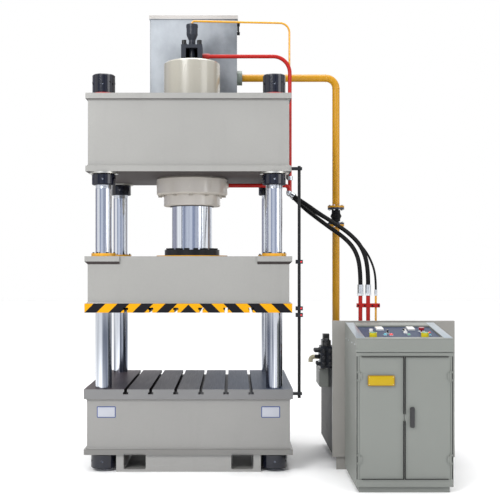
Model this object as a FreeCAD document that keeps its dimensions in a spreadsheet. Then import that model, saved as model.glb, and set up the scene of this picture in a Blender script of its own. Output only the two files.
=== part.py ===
"""Four-column hydraulic press with its power unit and control console.

Millimetres.  +X is to the right, +Y to the back, +Z up.  The origin is on the floor, under the
middle of the press's bed.  Every size is a cell of the sheet "sizes"; the pieces read those cells.
"""
import FreeCAD, Part
import Sketcher
import math
import os
import re

doc = FreeCAD.newDocument("hydraulic_press")
sheet = doc.addObject("Spreadsheet::Sheet", "sizes")

SIZES = [
    # fits
    ("running_gap", 0.08, "radial gap of a piece that slides or turns in its bush"),
    ("loose_gap", 1, "radial gap where a piece only passes through another"),
    ("seat_gap", 0.3, "gap between a piece and what carries it where curved faces meet"),
    # columns and their nuts
    ("column_span", 1240, "between column axes, left to right"),
    ("column_reach", 1000, "between column axes, front to back"),
    ("column_diameter", 120, "chromed column"),
    ("column_low", 21, "foot of a column above the floor"),
    ("column_high", 2866, "head of a column"),
    ("foot_nut_diameter", 186, "nut under the bed"),
    ("lock_nut_diameter", 172, "nut under the top beam"),
    ("lock_nut_height", 80, ""),
    ("top_nut_diameter", 165, "nut above the top beam"),
    ("washer_diameter", 210, "washer above a lock nut"),
    ("washer_thickness", 12, ""),
    ("spanner_hole", 16, "holes round a nut for a pin spanner"),
    # welded beams
    ("wall", 30, "plate that the beams are welded from"),
    ("bed_length", 1460, "bed, left to right"),
    ("bed_width", 1160, "bed, front to back"),
    ("bed_foot_low", 125, "underside of the bed's foot plate"),
    ("bed_foot_thickness", 40, ""),
    ("skirt_length", 1040, "box under the foot plate that stands on the floor"),
    ("floor_plate", 18, "plate that rests on the floor"),
    ("fork_spacing", 774, "between the two fork pockets"),
    ("fork_width", 160, ""),
    ("fork_height", 115, ""),
    # slotted plates
    ("table_length", 1500, "bed table, left to right"),
    ("table_width", 1200, "bed table, front to back"),
    ("table_high", 595, "working face of the table above the floor"),
    ("table_thickness", 70, ""),
    ("slot_pitch", 180, "between T-slots"),
    ("slot_neck", 22, "mouth of a T-slot"),
    ("slot_head", 38, "wide part of a T-slot"),
    ("slot_head_height", 16, ""),
    ("slot_depth", 36, ""),
    # top beam
    ("beam_low", 2160, "underside of the top beam"),
    ("beam_high", 2724, "upper face of the top beam"),
    ("beam_plate_length", 1480, ""),
    ("beam_plate_width", 1180, ""),
    ("beam_plate_thickness", 40, ""),
    ("beam_length", 1450, ""),
    ("beam_width", 1140, ""),
    ("cylinder_boss", 560, "solid block round the main cylinder"),
    ("column_boss", 200, "solid block round a column"),
    ("window_length", 200, "hand hole in the top beam's rear wall, under a cover"),
    ("window_height", 300, ""),
    ("hatch_lap", 30, "how far a hand hole's cover laps over its edge"),
    ("hatch_thickness", 10, ""),
    ("vent_hole", 12, "vent in a hand hole's cover"),
    # slide
    ("slide_low", 1210, "underside of the slide's weldment, above its platen"),
    ("slide_high", 1550, ""),
    ("slide_length", 1450, ""),
    ("slide_width", 1160, ""),
    ("pad_side", 250, "corner pad over each guide bush"),
    ("pad_proud", 20, "how far a pad stands out of the slide's walls"),
    ("pad_height", 38, ""),
    ("pad_bevel", 20, ""),
    ("platen_length", 1490, ""),
    ("platen_width", 1200, ""),
    ("platen_thickness", 65, ""),
    ("bush_wall", 10, "bronze guide bush"),
    ("wiper_diameter", 180, "cover over a guide bush"),
    ("wiper_height", 22, ""),
    ("seat_diameter", 557, "plate between the slide and the rod flange"),
    ("seat_height", 10, ""),
    ("rod_flange_diameter", 428, ""),
    ("rod_flange_height", 44, ""),
    ("flange_bolt_circle", 186, "radius of the bolt circle in the rod flange"),
    ("flange_bolt_head", 36, ""),
    ("bolt_head_height", 12, ""),
    # main cylinder
    ("rod_diameter", 315, ""),
    ("barrel_diameter", 440, ""),
    ("barrel_bore", 360, ""),
    ("barrel_low", 2026, "underside of the barrel's flange"),
    ("barrel_high", 3060, ""),
    ("barrel_end", 60, "closed end of the barrel"),
    ("barrel_flange_diameter", 554, ""),
    ("gland_diameter", 442, ""),
    ("gland_low", 1943, ""),
    ("gland_spigot", 59, "how far the gland reaches up into the bore"),
    ("barrel_port_high", 2102, "oil port in the barrel's flange"),
    ("piston_low", 2575, ""),
    ("piston_height", 100, ""),
    ("port_diameter", 110, "filling port in the barrel's end"),
    ("cylinder_nut_diameter", 520, ""),
    ("cylinder_nut_height", 55, ""),
    # filling valve and tank
    ("valve_side", 163, "filling valve's block"),
    ("valve_high", 3194, ""),
    ("bonnet_neck", 52, ""),
    ("bonnet_diameter", 88, ""),
    ("bonnet_high", 3367, ""),
    ("suction_diameter", 100, ""),
    ("suction_high", 3127, "axis of the pipe between tank and filling valve"),
    ("tank_length", 700, ""),
    ("tank_width", 365, ""),
    ("tank_front", 270, ""),
    ("tank_high", 3481, ""),
    ("tank_wall", 5, ""),
    ("lid_height", 30, ""),
    ("lid_proud", 10, ""),
    # pipes
    ("pressure_pipe", 30, ""),
    ("pilot_pipe", 16, ""),
    ("pressure_pipe_high", 3120, ""),
    ("pilot_pipe_high", 3394, ""),
    ("pipe_drop", 765, "where the pipes run down beside the top beam"),
    ("pipe_end", 2060, "lower ends of those pipes"),
    ("return_pipe", 60, ""),
    ("return_high", 3019, ""),
    ("return_drop", 1165, "where the return pipe runs down to the power unit"),
    ("return_row", 350, ""),
    ("return_bend", 85, "radius of the return pipe's elbow"),
    ("joint_low", 1818, "rubber joint in the return pipe"),
    ("joint_high", 1956, ""),
    ("joint_flange_diameter", 136, ""),
    ("joint_flange_thickness", 15, ""),
    ("joint_ball", 84, ""),
    ("riser_row", -386, "row of the risers that the hoses end on"),
    ("riser_first", 1263, ""),
    ("riser_pitch", 57, ""),
    ("riser_high", 1261, ""),
    ("clamp_high", 1188, ""),
    # position rod
    ("scale_across", 795, "position rod's place, left to right"),
    ("scale_row", -590, ""),
    ("scale_diameter", 22, ""),
    ("scale_low", 533, ""),
    ("scale_high", 2197, ""),
    # power unit
    ("unit_left", 1052, ""),
    ("unit_right", 1928, ""),
    ("unit_front", -456, ""),
    ("unit_back", 430, ""),
    ("unit_low", 90, "underside of the oil tank above the floor"),
    ("unit_high", 700, ""),
    ("unit_wall", 6, ""),
    ("cover_front", -520, ""),
    ("cover_high", 1081, ""),
    ("cover_depth", 40, ""),
    ("motor_diameter", 300, ""),
    ("motor_row", 170, ""),
    ("motor_high", 880, "axis of motor and pump"),
    ("motor_left", 1500, ""),
    ("motor_length", 380, ""),
    ("shaft_diameter", 42, ""),
    ("pump_length", 130, ""),
    ("bell_length", 100, ""),
    ("manifold_left", 985, ""),
    ("manifold_right", 1420, ""),
    ("manifold_front", -226, ""),
    ("manifold_back", -96, ""),
    ("manifold_high", 870, ""),
    # console
    ("console_left", 1124, ""),
    ("console_right", 1758, ""),
    ("console_front", -1190, ""),
    ("console_back", -590, ""),
    ("console_wall", 4, ""),
    ("plinth_height", 40, ""),
    ("plinth_setback", 20, ""),
    ("neck_high", 920, "top of the shadow gap under the head"),
    ("head_high", 1008, "front edge of the head's sloping top"),
    ("panel_slope", 6.3, "degrees"),
    ("recess_depth", 14, ""),
    ("recess_left", 1186, ""),
    ("recess_right", 1698, ""),
    ("recess_near", 50, "front of the recess, up the slope"),
    ("recess_far", 474, ""),
    ("panel_thickness", 4, ""),
    ("door_low", 90, ""),
    ("door_high", 892, ""),
    ("door_split", 1436, "between the two doors"),
    ("door_left_edge", 1144, ""),
    ("door_right_edge", 1736, ""),
    ("door_gap", 2, "gap round each door"),
    ("door_thickness", 20, ""),
    ("hinge_out", 6, "hinge axis in front of the doors"),
    ("knuckle_diameter", 11, ""),
    ("hinge_pin", 6, ""),
    ("handle_across", 1488, ""),
    ("handle_high", 495, ""),
    ("handle_length", 122, ""),
    ("handle_width", 27, ""),
    ("button_diameter", 40, "palm button"),
    ("guard_diameter", 50, ""),
    ("guard_height", 30, ""),
    ("stop_diameter", 38, ""),
    ("small_button", 26, ""),
    ("stem_diameter", 12, ""),
    ("press_travel", 5, ""),
]
ALIASES = {alias for alias, _, _ in SIZES}
SIDES = (-1, 1)
SLOTS = (-2.5, -1.5, -0.5, 0.5, 1.5, 2.5)
CORNERS = [(across, along) for across in SIDES for along in SIDES]
PIECES = []

# hoses: hand-chosen points from the fitting on the press to the crimp on the riser
HOSE_A = [(799, -13, 2008), (868, -58, 1930), (963, -118, 1850), (1062, -192, 1768),
          (1163, -270, 1690), (1233, -340, 1598), (1263, -386, 1470), (1263, -386, 1341)]
HOSE_B = [(796, -78, 2015), (878, -113, 1958), (972, -162, 1884), (1084, -226, 1806),
          (1196, -295, 1722), (1280, -350, 1622), (1320, -386, 1478), (1320, -386, 1341)]
HOSE_C = [(796, 44, 2022), (860, 10, 1960), (950, -38, 1897), (1052, -93, 1832), (1150, -150, 1765),
          (1236, -215, 1690), (1312, -290, 1602), (1358, -352, 1497), (1377, -386, 1395),
          (1377, -386, 1304)]
LARGE_HOSE = 32
SMALL_HOSE = 16


def fill_sheet():
    """Write each size into its cell and give the cell its name."""
    for row, (alias, number, note) in enumerate(SIZES, start=1):
        sheet.set(f"A{row}", str(number))
        sheet.setAlias(f"A{row}", alias)
        sheet.set(f"B{row}", note)
    doc.recompute()


def size(alias):
    """The number in a cell."""
    return float(getattr(sheet, alias))


def bound(rule):
    """An expression: each alias in the rule becomes a reference to its cell."""
    return re.sub(r"[a-z][a-z_0-9]*", lambda word: "sizes." + word.group()
                  if word.group() in ALIASES else word.group(), str(rule))


def place(thing, x=0, y=0, z=0, axis=(0, 0, 1), angle=0):
    """Bind an object's position, after giving it a fixed turn."""
    turn = FreeCAD.Rotation(FreeCAD.Vector(*axis), angle)
    thing.Placement = FreeCAD.Placement(FreeCAD.Vector(), turn)
    for letter, rule in (("x", x), ("y", y), ("z", z)):
        thing.setExpression(f"Placement.Base.{letter}", bound(rule))
    return thing


def block(name, x, y, z):
    """A box; x, y and z are each a pair of rules, low and high."""
    box = doc.addObject("Part::Box", name)
    for side, (low, high) in (("Length", x), ("Width", y), ("Height", z)):
        box.setExpression(side, bound(f"({high}) - ({low})"))
    return place(box, x[0], y[0], z[0])


TURNS = {"x": ((0, 1, 0), 90), "y": ((1, 0, 0), -90), "z": ((0, 0, 1), 0)}


def rod(name, diameter, x, y, z):
    """A cylinder; the one of x, y and z that is a pair of rules is its axis."""
    cylinder = doc.addObject("Part::Cylinder", name)
    along = next(letter for letter, rule in (("x", x), ("y", y), ("z", z)) if isinstance(rule, tuple))
    low, high = {"x": x, "y": y, "z": z}[along]
    cylinder.setExpression("Radius", bound(f"({diameter}) / 2"))
    cylinder.setExpression("Height", bound(f"({high}) - ({low})"))
    start = [low if isinstance(rule, tuple) else rule for rule in (x, y, z)]
    return place(cylinder, *start, *TURNS[along])


def ball(name, diameter, x, y, z):
    """A sphere."""
    shape = doc.addObject("Part::Sphere", name)
    shape.setExpression("Radius", bound(f"({diameter}) / 2"))
    return place(shape, x, y, z)


def group(name, things):
    """Separate solids under one name."""
    joined = doc.addObject("Part::Compound", name)
    joined.Links = list(things)
    return joined


def fuse(name, *things):
    """One solid from several."""
    joined = doc.addObject("Part::MultiFuse", name)
    joined.Shapes = list(things)
    return joined


def cut(name, base, *tools):
    """The base less its tools."""
    result = doc.addObject("Part::Cut", name)
    result.Base = base
    result.Tool = tools[0] if len(tools) == 1 else fuse(name + "_tools", *tools)
    return result


def keep(thing, name):
    """Mark a finished sub-part: its label names its file."""
    thing.Label = name
    PIECES.append(thing)
    return thing


def outline(body, name, role, corners):
    """A closed sketch in a body; each corner is held by two bound dimensions."""
    sketch = body.newObject("Sketcher::SketchObject", name)
    support = next(plane for plane in body.Origin.OriginFeatures if plane.Role == role)
    sketch.AttachmentSupport = [(support, "")]
    sketch.MapMode = "FlatFace"
    count = len(corners)
    angles = [2 * math.pi * index / count for index in range(count)]
    rough = [FreeCAD.Vector(100 * math.cos(angle), 100 * math.sin(angle), 0) for angle in angles]
    lines = [Part.LineSegment(rough[index], rough[(index + 1) % count]) for index in range(count)]
    sketch.addGeometry(lines, False)
    rules = [Sketcher.Constraint("Coincident", index, 2, (index + 1) % count, 1) for index in range(count)]
    for index, point in enumerate(rough):
        rules.append(Sketcher.Constraint("DistanceX", -1, 1, index, 1, point.x))
        rules.append(Sketcher.Constraint("DistanceY", -1, 1, index, 1, point.y))
    sketch.addConstraint(rules)
    for index, (across, up) in enumerate(corners):
        sketch.setExpression(f"Constraints[{count + 2 * index}]", bound(across))
        sketch.setExpression(f"Constraints[{count + 2 * index + 1}]", bound(up))
    return sketch


def turned(name, corners):
    """A body turned about Z: its corners are (radius, height)."""
    body = doc.addObject("PartDesign::Body", name)
    sketch = outline(body, name + "_profile", "XZ_Plane", corners)
    turn = body.newObject("PartDesign::Revolution", name + "_turn")
    turn.Profile = sketch
    turn.ReferenceAxis = (sketch, ["V_Axis"])
    turn.Angle = 360
    return body


def padded(name, role, corners, length):
    """A body made by padding an outline to both sides of its plane."""
    body = doc.addObject("PartDesign::Body", name)
    sketch = outline(body, name + "_profile", role, corners)
    pad = body.newObject("PartDesign::Pad", name + "_pad")
    pad.Profile = sketch
    pad.SideType = "Symmetric"
    pad.setExpression("Length", bound(length))
    return body


def chamfered(name, base, width, test):
    """Chamfer those edges of an object that pass a test on their middle point."""
    doc.recompute()
    numbers = []
    for number, edge in enumerate(base.Shape.Edges, start=1):
        middle = edge.valueAt((edge.FirstParameter + edge.LastParameter) / 2)
        if test(middle):
            numbers.append((number, size(width), size(width)))
    result = doc.addObject("Part::Chamfer", name)
    result.Base = base
    result.Edges = numbers
    return result


def centred(length):
    """A pair of rules for a stretch centred on zero."""
    return f"-({length}) / 2", f"({length}) / 2"


def about(middle, width):
    """A pair of rules for a stretch centred on a place."""
    return f"({middle}) - ({width}) / 2", f"({middle}) + ({width}) / 2"


def mirrored(side, near, far):
    """A pair of rules for a stretch on one side of zero."""
    return (near, far) if side > 0 else (f"-({far})", f"-({near})")


def column_place(across, along):
    """Rules for a column's axis."""
    return f"{across} * column_span / 2", f"{along} * column_reach / 2"


def column_bores(name, diameter, low, high):
    """Four upright cylinders on the column axes."""
    return [rod(f"{name}_{number}", diameter, *column_place(*corner), (low, high))
            for number, corner in enumerate(CORNERS)]


def ring(name, outer, inner, x, y, z):
    """An upright ring between two heights."""
    return cut(name, rod(name + "_outer", outer, x, y, z), rod(name + "_inner", inner, x, y, z))


def bent_tube(name, points, diameter, bends):
    """A tube along straight runs joined by tangent arcs of the given radii."""
    corners = [FreeCAD.Vector(*point) for point in points]
    edges = []
    start = corners[0]
    for before, corner, after, radius in zip(corners, corners[1:], corners[2:], bends):
        back = (before - corner).normalize()
        ahead = (after - corner).normalize()
        half_turn = (math.pi - back.getAngle(ahead)) / 2
        reach = radius * math.tan(half_turn)
        middle = (back + ahead).normalize() * (radius / math.cos(half_turn) - radius)
        arc_start = corner + back * reach
        arc_end = corner + ahead * reach
        if (arc_start - start).Length > 0.001:
            edges.append(Part.LineSegment(start, arc_start).toShape())
        edges.append(Part.Arc(arc_start, corner + middle, arc_end).toShape())
        start = arc_end
    edges.append(Part.LineSegment(start, corners[-1]).toShape())
    path = Part.Wire(edges)
    section = Part.Wire(Part.Circle(corners[0], corners[1] - corners[0], diameter / 2).toShape())
    tube = doc.addObject("Part::Feature", name)
    tube.Shape = path.makePipeShell([section], True, True)
    tube.Placement = FreeCAD.Placement()
    expected = math.pi * diameter ** 2 / 4 * path.Length
    if abs(tube.Shape.Volume / expected - 1) > 0.01:
        raise ValueError(f"{name}: volume {tube.Shape.Volume:.0f}, expected {expected:.0f}")
    return tube


# the bed

def bed():
    """Welded box on a skirt, open at the top between its ribs; the table closes it."""
    body_low = "bed_foot_low + bed_foot_thickness"
    body_high = "table_high - table_thickness"
    box = block("bed_box", centred("bed_length"), centred("bed_width"), (body_low, body_high))
    foot = block("bed_foot", centred("table_length"), centred("table_width"), ("bed_foot_low", body_low))
    skirt = block("bed_skirt", centred("skirt_length"), centred("bed_width"), ("0", "bed_foot_low"))
    row_pitch = "(bed_width - 2 * wall) / 4"
    cell_pitch = "(bed_length - 2 * wall) / 5"
    tools = []
    for row in (-1.5, -0.5, 0.5, 1.5):
        along = about(f"{row} * {row_pitch}", f"{row_pitch} - wall")
        cells = (-1, 0, 1) if abs(row) > 1 else (-2, -1, 0, 1, 2)
        for cell in cells:
            across = about(f"{cell} * {cell_pitch}", f"{cell_pitch} - wall")
            tools.append(block(f"bed_cell_{len(tools)}", across, along, (body_low, body_high)))
        for side in SIDES:
            across = mirrored(side, "wall / 2", "(fork_spacing - fork_width) / 2 - wall")
            tools.append(block(f"bed_cell_{len(tools)}", across, along, ("floor_plate", body_low)))
    fork_corner = 12
    for side in SIDES:
        pocket = block(f"fork_pocket_{side + 1}", about(f"{side} * fork_spacing / 2", "fork_width"),
                       centred("table_width + 2 * wall"), ("floor_plate", "floor_plate + fork_height"))
        tools.append(rounded(f"fork_pocket_round_{side + 1}", pocket, fork_corner,
                             lambda middle: abs(middle.y) < 1))
    tools += column_bores("bed_bore", "column_diameter + 2 * running_gap", "bed_foot_low", body_high)
    keep(cut("bed", fuse("bed_solid", box, foot, skirt), *tools), "bed")


def rounded(name, base, radius, test):
    """Fillet those edges of an object that pass a test on their middle point."""
    doc.recompute()
    numbers = []
    for number, edge in enumerate(base.Shape.Edges, start=1):
        middle = edge.valueAt((edge.FirstParameter + edge.LastParameter) / 2)
        if test(middle):
            numbers.append((number, radius, radius))
    result = doc.addObject("Part::Fillet", name)
    result.Base = base
    result.Edges = numbers
    return result


def slotted_plate(name, length, width, face, back, inward):
    """A plate with T-slots along Y, sunk from its working face; inward is -1 when that is down."""
    def depth(rule):
        return f"{face} + {inward} * ({rule})"
    corners = [(f"-({length}) / 2", back), (f"({length}) / 2", back), (f"({length}) / 2", face)]
    shoulder = depth("slot_depth - slot_head_height")
    bottom = depth("slot_depth")
    for slot in reversed(SLOTS):
        middle = f"{slot} * slot_pitch"
        corners += [(f"{middle} + slot_neck / 2", face), (f"{middle} + slot_neck / 2", shoulder),
                    (f"{middle} + slot_head / 2", shoulder), (f"{middle} + slot_head / 2", bottom),
                    (f"{middle} - slot_head / 2", bottom), (f"{middle} - slot_head / 2", shoulder),
                    (f"{middle} - slot_neck / 2", shoulder), (f"{middle} - slot_neck / 2", face)]
    corners.append((f"-({length}) / 2", face))
    return padded(name, "XZ_Plane", corners, width)


def bed_table():
    """Machined table with six T-slots."""
    plate = slotted_plate("table_plate", "table_length", "table_width", "table_high",
                          "table_high - table_thickness", -1)
    bores = column_bores("table_bore", "column_diameter + 2 * running_gap",
                         "table_high - table_thickness - 1", "table_high + 1")
    keep(cut("bed_table", plate, *bores), "bed_table")


# columns

def columns():
    """Four chromed columns with chamfered ends."""
    chamfer = 5
    radius = "column_diameter / 2"
    posts = []
    for number, (across, along) in enumerate(CORNERS):
        post = turned(f"column_{number}", [
            (0, "column_low"), (f"{radius} - {chamfer}", "column_low"),
            (radius, f"column_low + {chamfer}"), (radius, f"column_high - {chamfer}"),
            (f"{radius} - {chamfer}", "column_high"), (0, "column_high")])
        posts.append(place(post, *column_place(across, along)))
    keep(group("columns", posts), "columns")


def round_nut(name, diameter, low, high, across, along):
    """A round nut with six holes for a pin spanner."""
    chamfer = 6
    inner = "column_diameter / 2 + running_gap"
    outer = f"{diameter} / 2"
    body = turned(name + "_body", [
        (inner, low), (f"{outer} - {chamfer}", low), (outer, f"{low} + {chamfer}"),
        (outer, f"{high} - {chamfer}"), (f"{outer} - {chamfer}", high), (inner, high)])
    x, y = column_place(across, along)
    place(body, x, y)
    holes = []
    for number in range(3):
        angle = 60 * number + 30
        hole = doc.addObject("Part::Cylinder", f"{name}_hole_{number}")
        hole.setExpression("Radius", bound("spanner_hole / 2"))
        hole.setExpression("Height", bound(f"2 * {diameter}"))
        turn = FreeCAD.Rotation(FreeCAD.Vector(0, 0, 1), angle) * FreeCAD.Rotation(FreeCAD.Vector(0, 1, 0),
                                                                                   90)
        place(hole, f"{x} - {diameter} * cos({angle})", f"{y} - {diameter} * sin({angle})",
              f"({low} + {high}) / 2", turn.Axis, math.degrees(turn.Angle))
        holes.append(hole)
    return cut(name, body, *holes)


def column_nuts():
    """Twelve round nuts: under the bed, under the top beam and above it."""
    lock_low = "beam_low - washer_thickness - lock_nut_height"
    sets = [("foot_nut", "foot_nut_diameter", "column_low", "bed_foot_low"),
            ("lock_nut", "lock_nut_diameter", lock_low, "(beam_low - washer_thickness)"),
            ("top_nut", "top_nut_diameter", "beam_high", "column_high")]
    nuts = []
    for name, diameter, low, high in sets:
        for number, (across, along) in enumerate(CORNERS):
            nuts.append(round_nut(f"{name}_{number}", diameter, low, high, across, along))
    keep(group("column_nuts", nuts), "column_nuts")


def column_washers():
    """Four washers between the lock nuts and the top beam."""
    washers = [ring(f"washer_{number}", "washer_diameter", "column_diameter + 2 * running_gap",
                    *column_place(*corner), ("beam_low - washer_thickness", "beam_low"))
               for number, corner in enumerate(CORNERS)]
    keep(group("column_washers", washers), "column_washers")


# the top beam

def top_beam():
    """Welded box beam; its rooms join each other behind two covered hand holes in the rear wall."""
    low = "beam_low + beam_plate_thickness"
    high = "beam_high - beam_plate_thickness"
    inner_y = "beam_width / 2 - wall"
    boss_x = "column_span / 2 - column_boss / 2"
    boss_y = "column_reach / 2 - column_boss / 2"
    box = block("beam_box", centred("beam_length"), centred("beam_width"), (low, high))
    plates = [block(f"beam_plate_{number}", centred("beam_plate_length"), centred("beam_plate_width"),
                    heights)
              for number, heights in enumerate((("beam_low", low), (high, "beam_high")))]
    tools = []
    for side in SIDES:
        room = (low, high)
        tools.append(block(f"beam_room_{side + 1}", mirrored(side, "cylinder_boss / 2", boss_x),
                           (f"-({inner_y})", inner_y), room))
        tools.append(block(f"beam_side_room_{side + 1}",
                           mirrored(side, "cylinder_boss / 2", "beam_length / 2 - wall"),
                           (f"-({boss_y})", boss_y), room))
        tools.append(block(f"beam_middle_room_{side + 1}", centred("cylinder_boss + 2"),
                           mirrored(side, "cylinder_boss / 2", inner_y), room))
        middle = f"{side} * (cylinder_boss / 2 + {boss_x}) / 2"
        tools.append(block(f"beam_window_{side + 1}", about(middle, "window_length"),
                           (f"{inner_y} - wall", "beam_width / 2 + wall"),
                           about("(beam_low + beam_high) / 2", "window_height")))
    tools.append(rod("beam_bore", "barrel_diameter + 2 * running_gap", 0, 0, ("beam_low", "beam_high")))
    tools += column_bores("beam_column_bore", "column_diameter + 2 * running_gap", "beam_low", "beam_high")
    shell = cut("beam_shell", fuse("beam_solid", box, *plates), *tools)
    keep(fuse("top_beam", shell, *[beam_hatch(side) for side in SIDES]), "top_beam")


def beam_hatch(side):
    """Screwed cover over one rear hand hole, with a vent."""
    screw = 20
    inset = 14
    middle = f"{side} * (cylinder_boss / 2 + column_span / 2 - column_boss / 2) / 2"
    height = "(beam_low + beam_high) / 2"
    face = "beam_width / 2 + hatch_thickness"
    plate = block(f"hatch_plate_{side + 1}", about(middle, "window_length + 2 * hatch_lap"),
                  ("beam_width / 2", face), about(height, "window_height + 2 * hatch_lap"))
    screws = [rod(f"hatch_screw_{side + 1}_{number}", screw,
                  f"{middle} + {across} * (window_length / 2 + {inset})",
                  ("beam_width / 2", f"{face} + {screw / 3}"),
                  f"{height} + {up} * (window_height / 2 + {inset})")
              for number, (across, up) in enumerate(CORNERS)]
    vent = rod(f"hatch_vent_{side + 1}", "vent_hole", middle, ("beam_width / 2 - 1", f"{face} + 1"), height)
    return cut(f"hatch_{side + 1}", fuse(f"hatch_solid_{side + 1}", plate, *screws), vent)


# the slide

def slide_beam():
    """Welded slide, open below between its ribs; corner pads stand proud over the guide bushes."""
    room = ("slide_low", "slide_high - beam_plate_thickness")
    inner_x = "slide_length / 2 - wall"
    inner_y = "slide_width / 2 - wall"
    boss_x = "column_span / 2 - column_boss / 2"
    boss_y = "column_reach / 2 - column_boss / 2"
    box = block("slide_box", centred("slide_length"), centred("slide_width"), ("slide_low", "slide_high"))
    pads = []
    outer_x = size("slide_length") / 2 + size("pad_proud")
    outer_y = size("slide_width") / 2 + size("pad_proud")
    pad_low = "slide_high - pad_height - pad_bevel"
    for number, (across, along) in enumerate(CORNERS):
        pad = block(f"pad_{number}",
                    mirrored(across, "slide_length / 2 + pad_proud - pad_side",
                             "slide_length / 2 + pad_proud"),
                    mirrored(along, "slide_width / 2 + pad_proud - pad_side", "slide_width / 2 + pad_proud"),
                    (pad_low, "slide_high"))
        low = size("slide_high") - size("pad_height") - size("pad_bevel")
        pads.append(chamfered(f"pad_bevelled_{number}", pad, "pad_bevel",
                              lambda middle: abs(middle.z - low) < 1
                              and (abs(abs(middle.x) - outer_x) < 1 or abs(abs(middle.y) - outer_y) < 1)))
    tools = []
    for side in SIDES:
        tools.append(block(f"slide_room_{side + 1}", mirrored(side, "cylinder_boss / 2", boss_x),
                           (f"-({inner_y})", inner_y), room))
        tools.append(block(f"slide_side_room_{side + 1}", mirrored(side, f"{boss_x} + wall", inner_x),
                           (f"-({boss_y})", boss_y), room))
        tools.append(block(f"slide_middle_room_{side + 1}", centred("cylinder_boss - 2 * wall"),
                           mirrored(side, "cylinder_boss / 2", inner_y), room))
    tools += column_bores("slide_bore", "column_diameter + 2 * bush_wall", "slide_low", "slide_high")
    keep(cut("slide_beam", fuse("slide_solid", box, *pads), *tools), "slide_beam")


def slide_platen():
    """Machined platen under the slide, with six T-slots that open downwards."""
    face = "(slide_low - platen_thickness)"
    plate = slotted_plate("platen_plate", "platen_length", "platen_width", face, "slide_low", 1)
    bores = column_bores("platen_bore", "column_diameter + 2 * loose_gap", f"{face} - 1", "slide_low + 1")
    keep(cut("slide_platen", plate, *bores), "slide_platen")


def guides():
    """Bronze bushes in the slide, and the wiper covers that close them."""
    bushes = []
    covers = []
    for number, corner in enumerate(CORNERS):
        x, y = column_place(*corner)
        bushes.append(ring(f"bush_{number}", "column_diameter + 2 * bush_wall",
                           "column_diameter + 2 * running_gap", x, y, ("slide_low", "slide_high")))
        covers.append(ring(f"wiper_{number}", "wiper_diameter", "column_diameter + 2 * loose_gap", x, y,
                           ("slide_high", "slide_high + wiper_height")))
    keep(group("guide_bushes", bushes), "guide_bushes")
    keep(group("wiper_covers", covers), "wiper_covers")


def socket_screw(name, diameter, height, x, y, low):
    """A cap screw's head with its hexagon socket."""
    head = rod(name + "_head", diameter, x, y, (low, f"{low} + {height}"))
    socket = doc.addObject("Part::Prism", name + "_socket")
    socket.Polygon = 6
    socket.setExpression("Circumradius", bound(f"({diameter}) * 0.3"))
    socket.setExpression("Height", bound(f"({height}) * 0.6"))
    place(socket, x, y, f"{low} + ({height}) * 0.5")
    return cut(name, head, socket)


def slide_bolts():
    """Screws round the rod flange and in the four wiper covers."""
    screws = []
    flange_screws = 16
    flange_high = "slide_high + seat_height + rod_flange_height"
    for number in range(flange_screws):
        angle = 360 / flange_screws * (number + 0.5)
        screws.append(socket_screw(f"flange_screw_{number}", "flange_bolt_head", "bolt_head_height",
                                   f"flange_bolt_circle * cos({angle})",
                                   f"flange_bolt_circle * sin({angle})", flange_high))
    cover_screws = 6
    circle = "(wiper_diameter + column_diameter) / 4"
    for corner_number, corner in enumerate(CORNERS):
        x, y = column_place(*corner)
        for number in range(cover_screws):
            angle = 360 / cover_screws * number
            screws.append(socket_screw(f"cover_screw_{corner_number}_{number}", 14, 8,
                                       f"{x} + {circle} * cos({angle})", f"{y} + {circle} * sin({angle})",
                                       "slide_high + wiper_height"))
    keep(group("slide_bolts", screws), "slide_bolts")


def rod_end():
    """Seat plate, clamping flange and piston rod with its piston."""
    seat_high = "slide_high + seat_height"
    flange_high = f"{seat_high} + rod_flange_height"
    keep(rod("rod_seat_plate", "seat_diameter", 0, 0, ("slide_high", seat_high)), "rod_seat_plate")
    keep(ring("rod_flange", "rod_flange_diameter", "rod_diameter + 2 * running_gap", 0, 0,
              (seat_high, flange_high)), "rod_flange")
    piston = "barrel_bore / 2 - seat_gap"
    keep(turned("piston_rod", [
        (0, seat_high), ("rod_diameter / 2", seat_high), ("rod_diameter / 2", "piston_low"),
        (piston, "piston_low"), (piston, "piston_low + piston_height"), (0, "piston_low + piston_height")]),
        "piston_rod")


# the main cylinder

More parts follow.
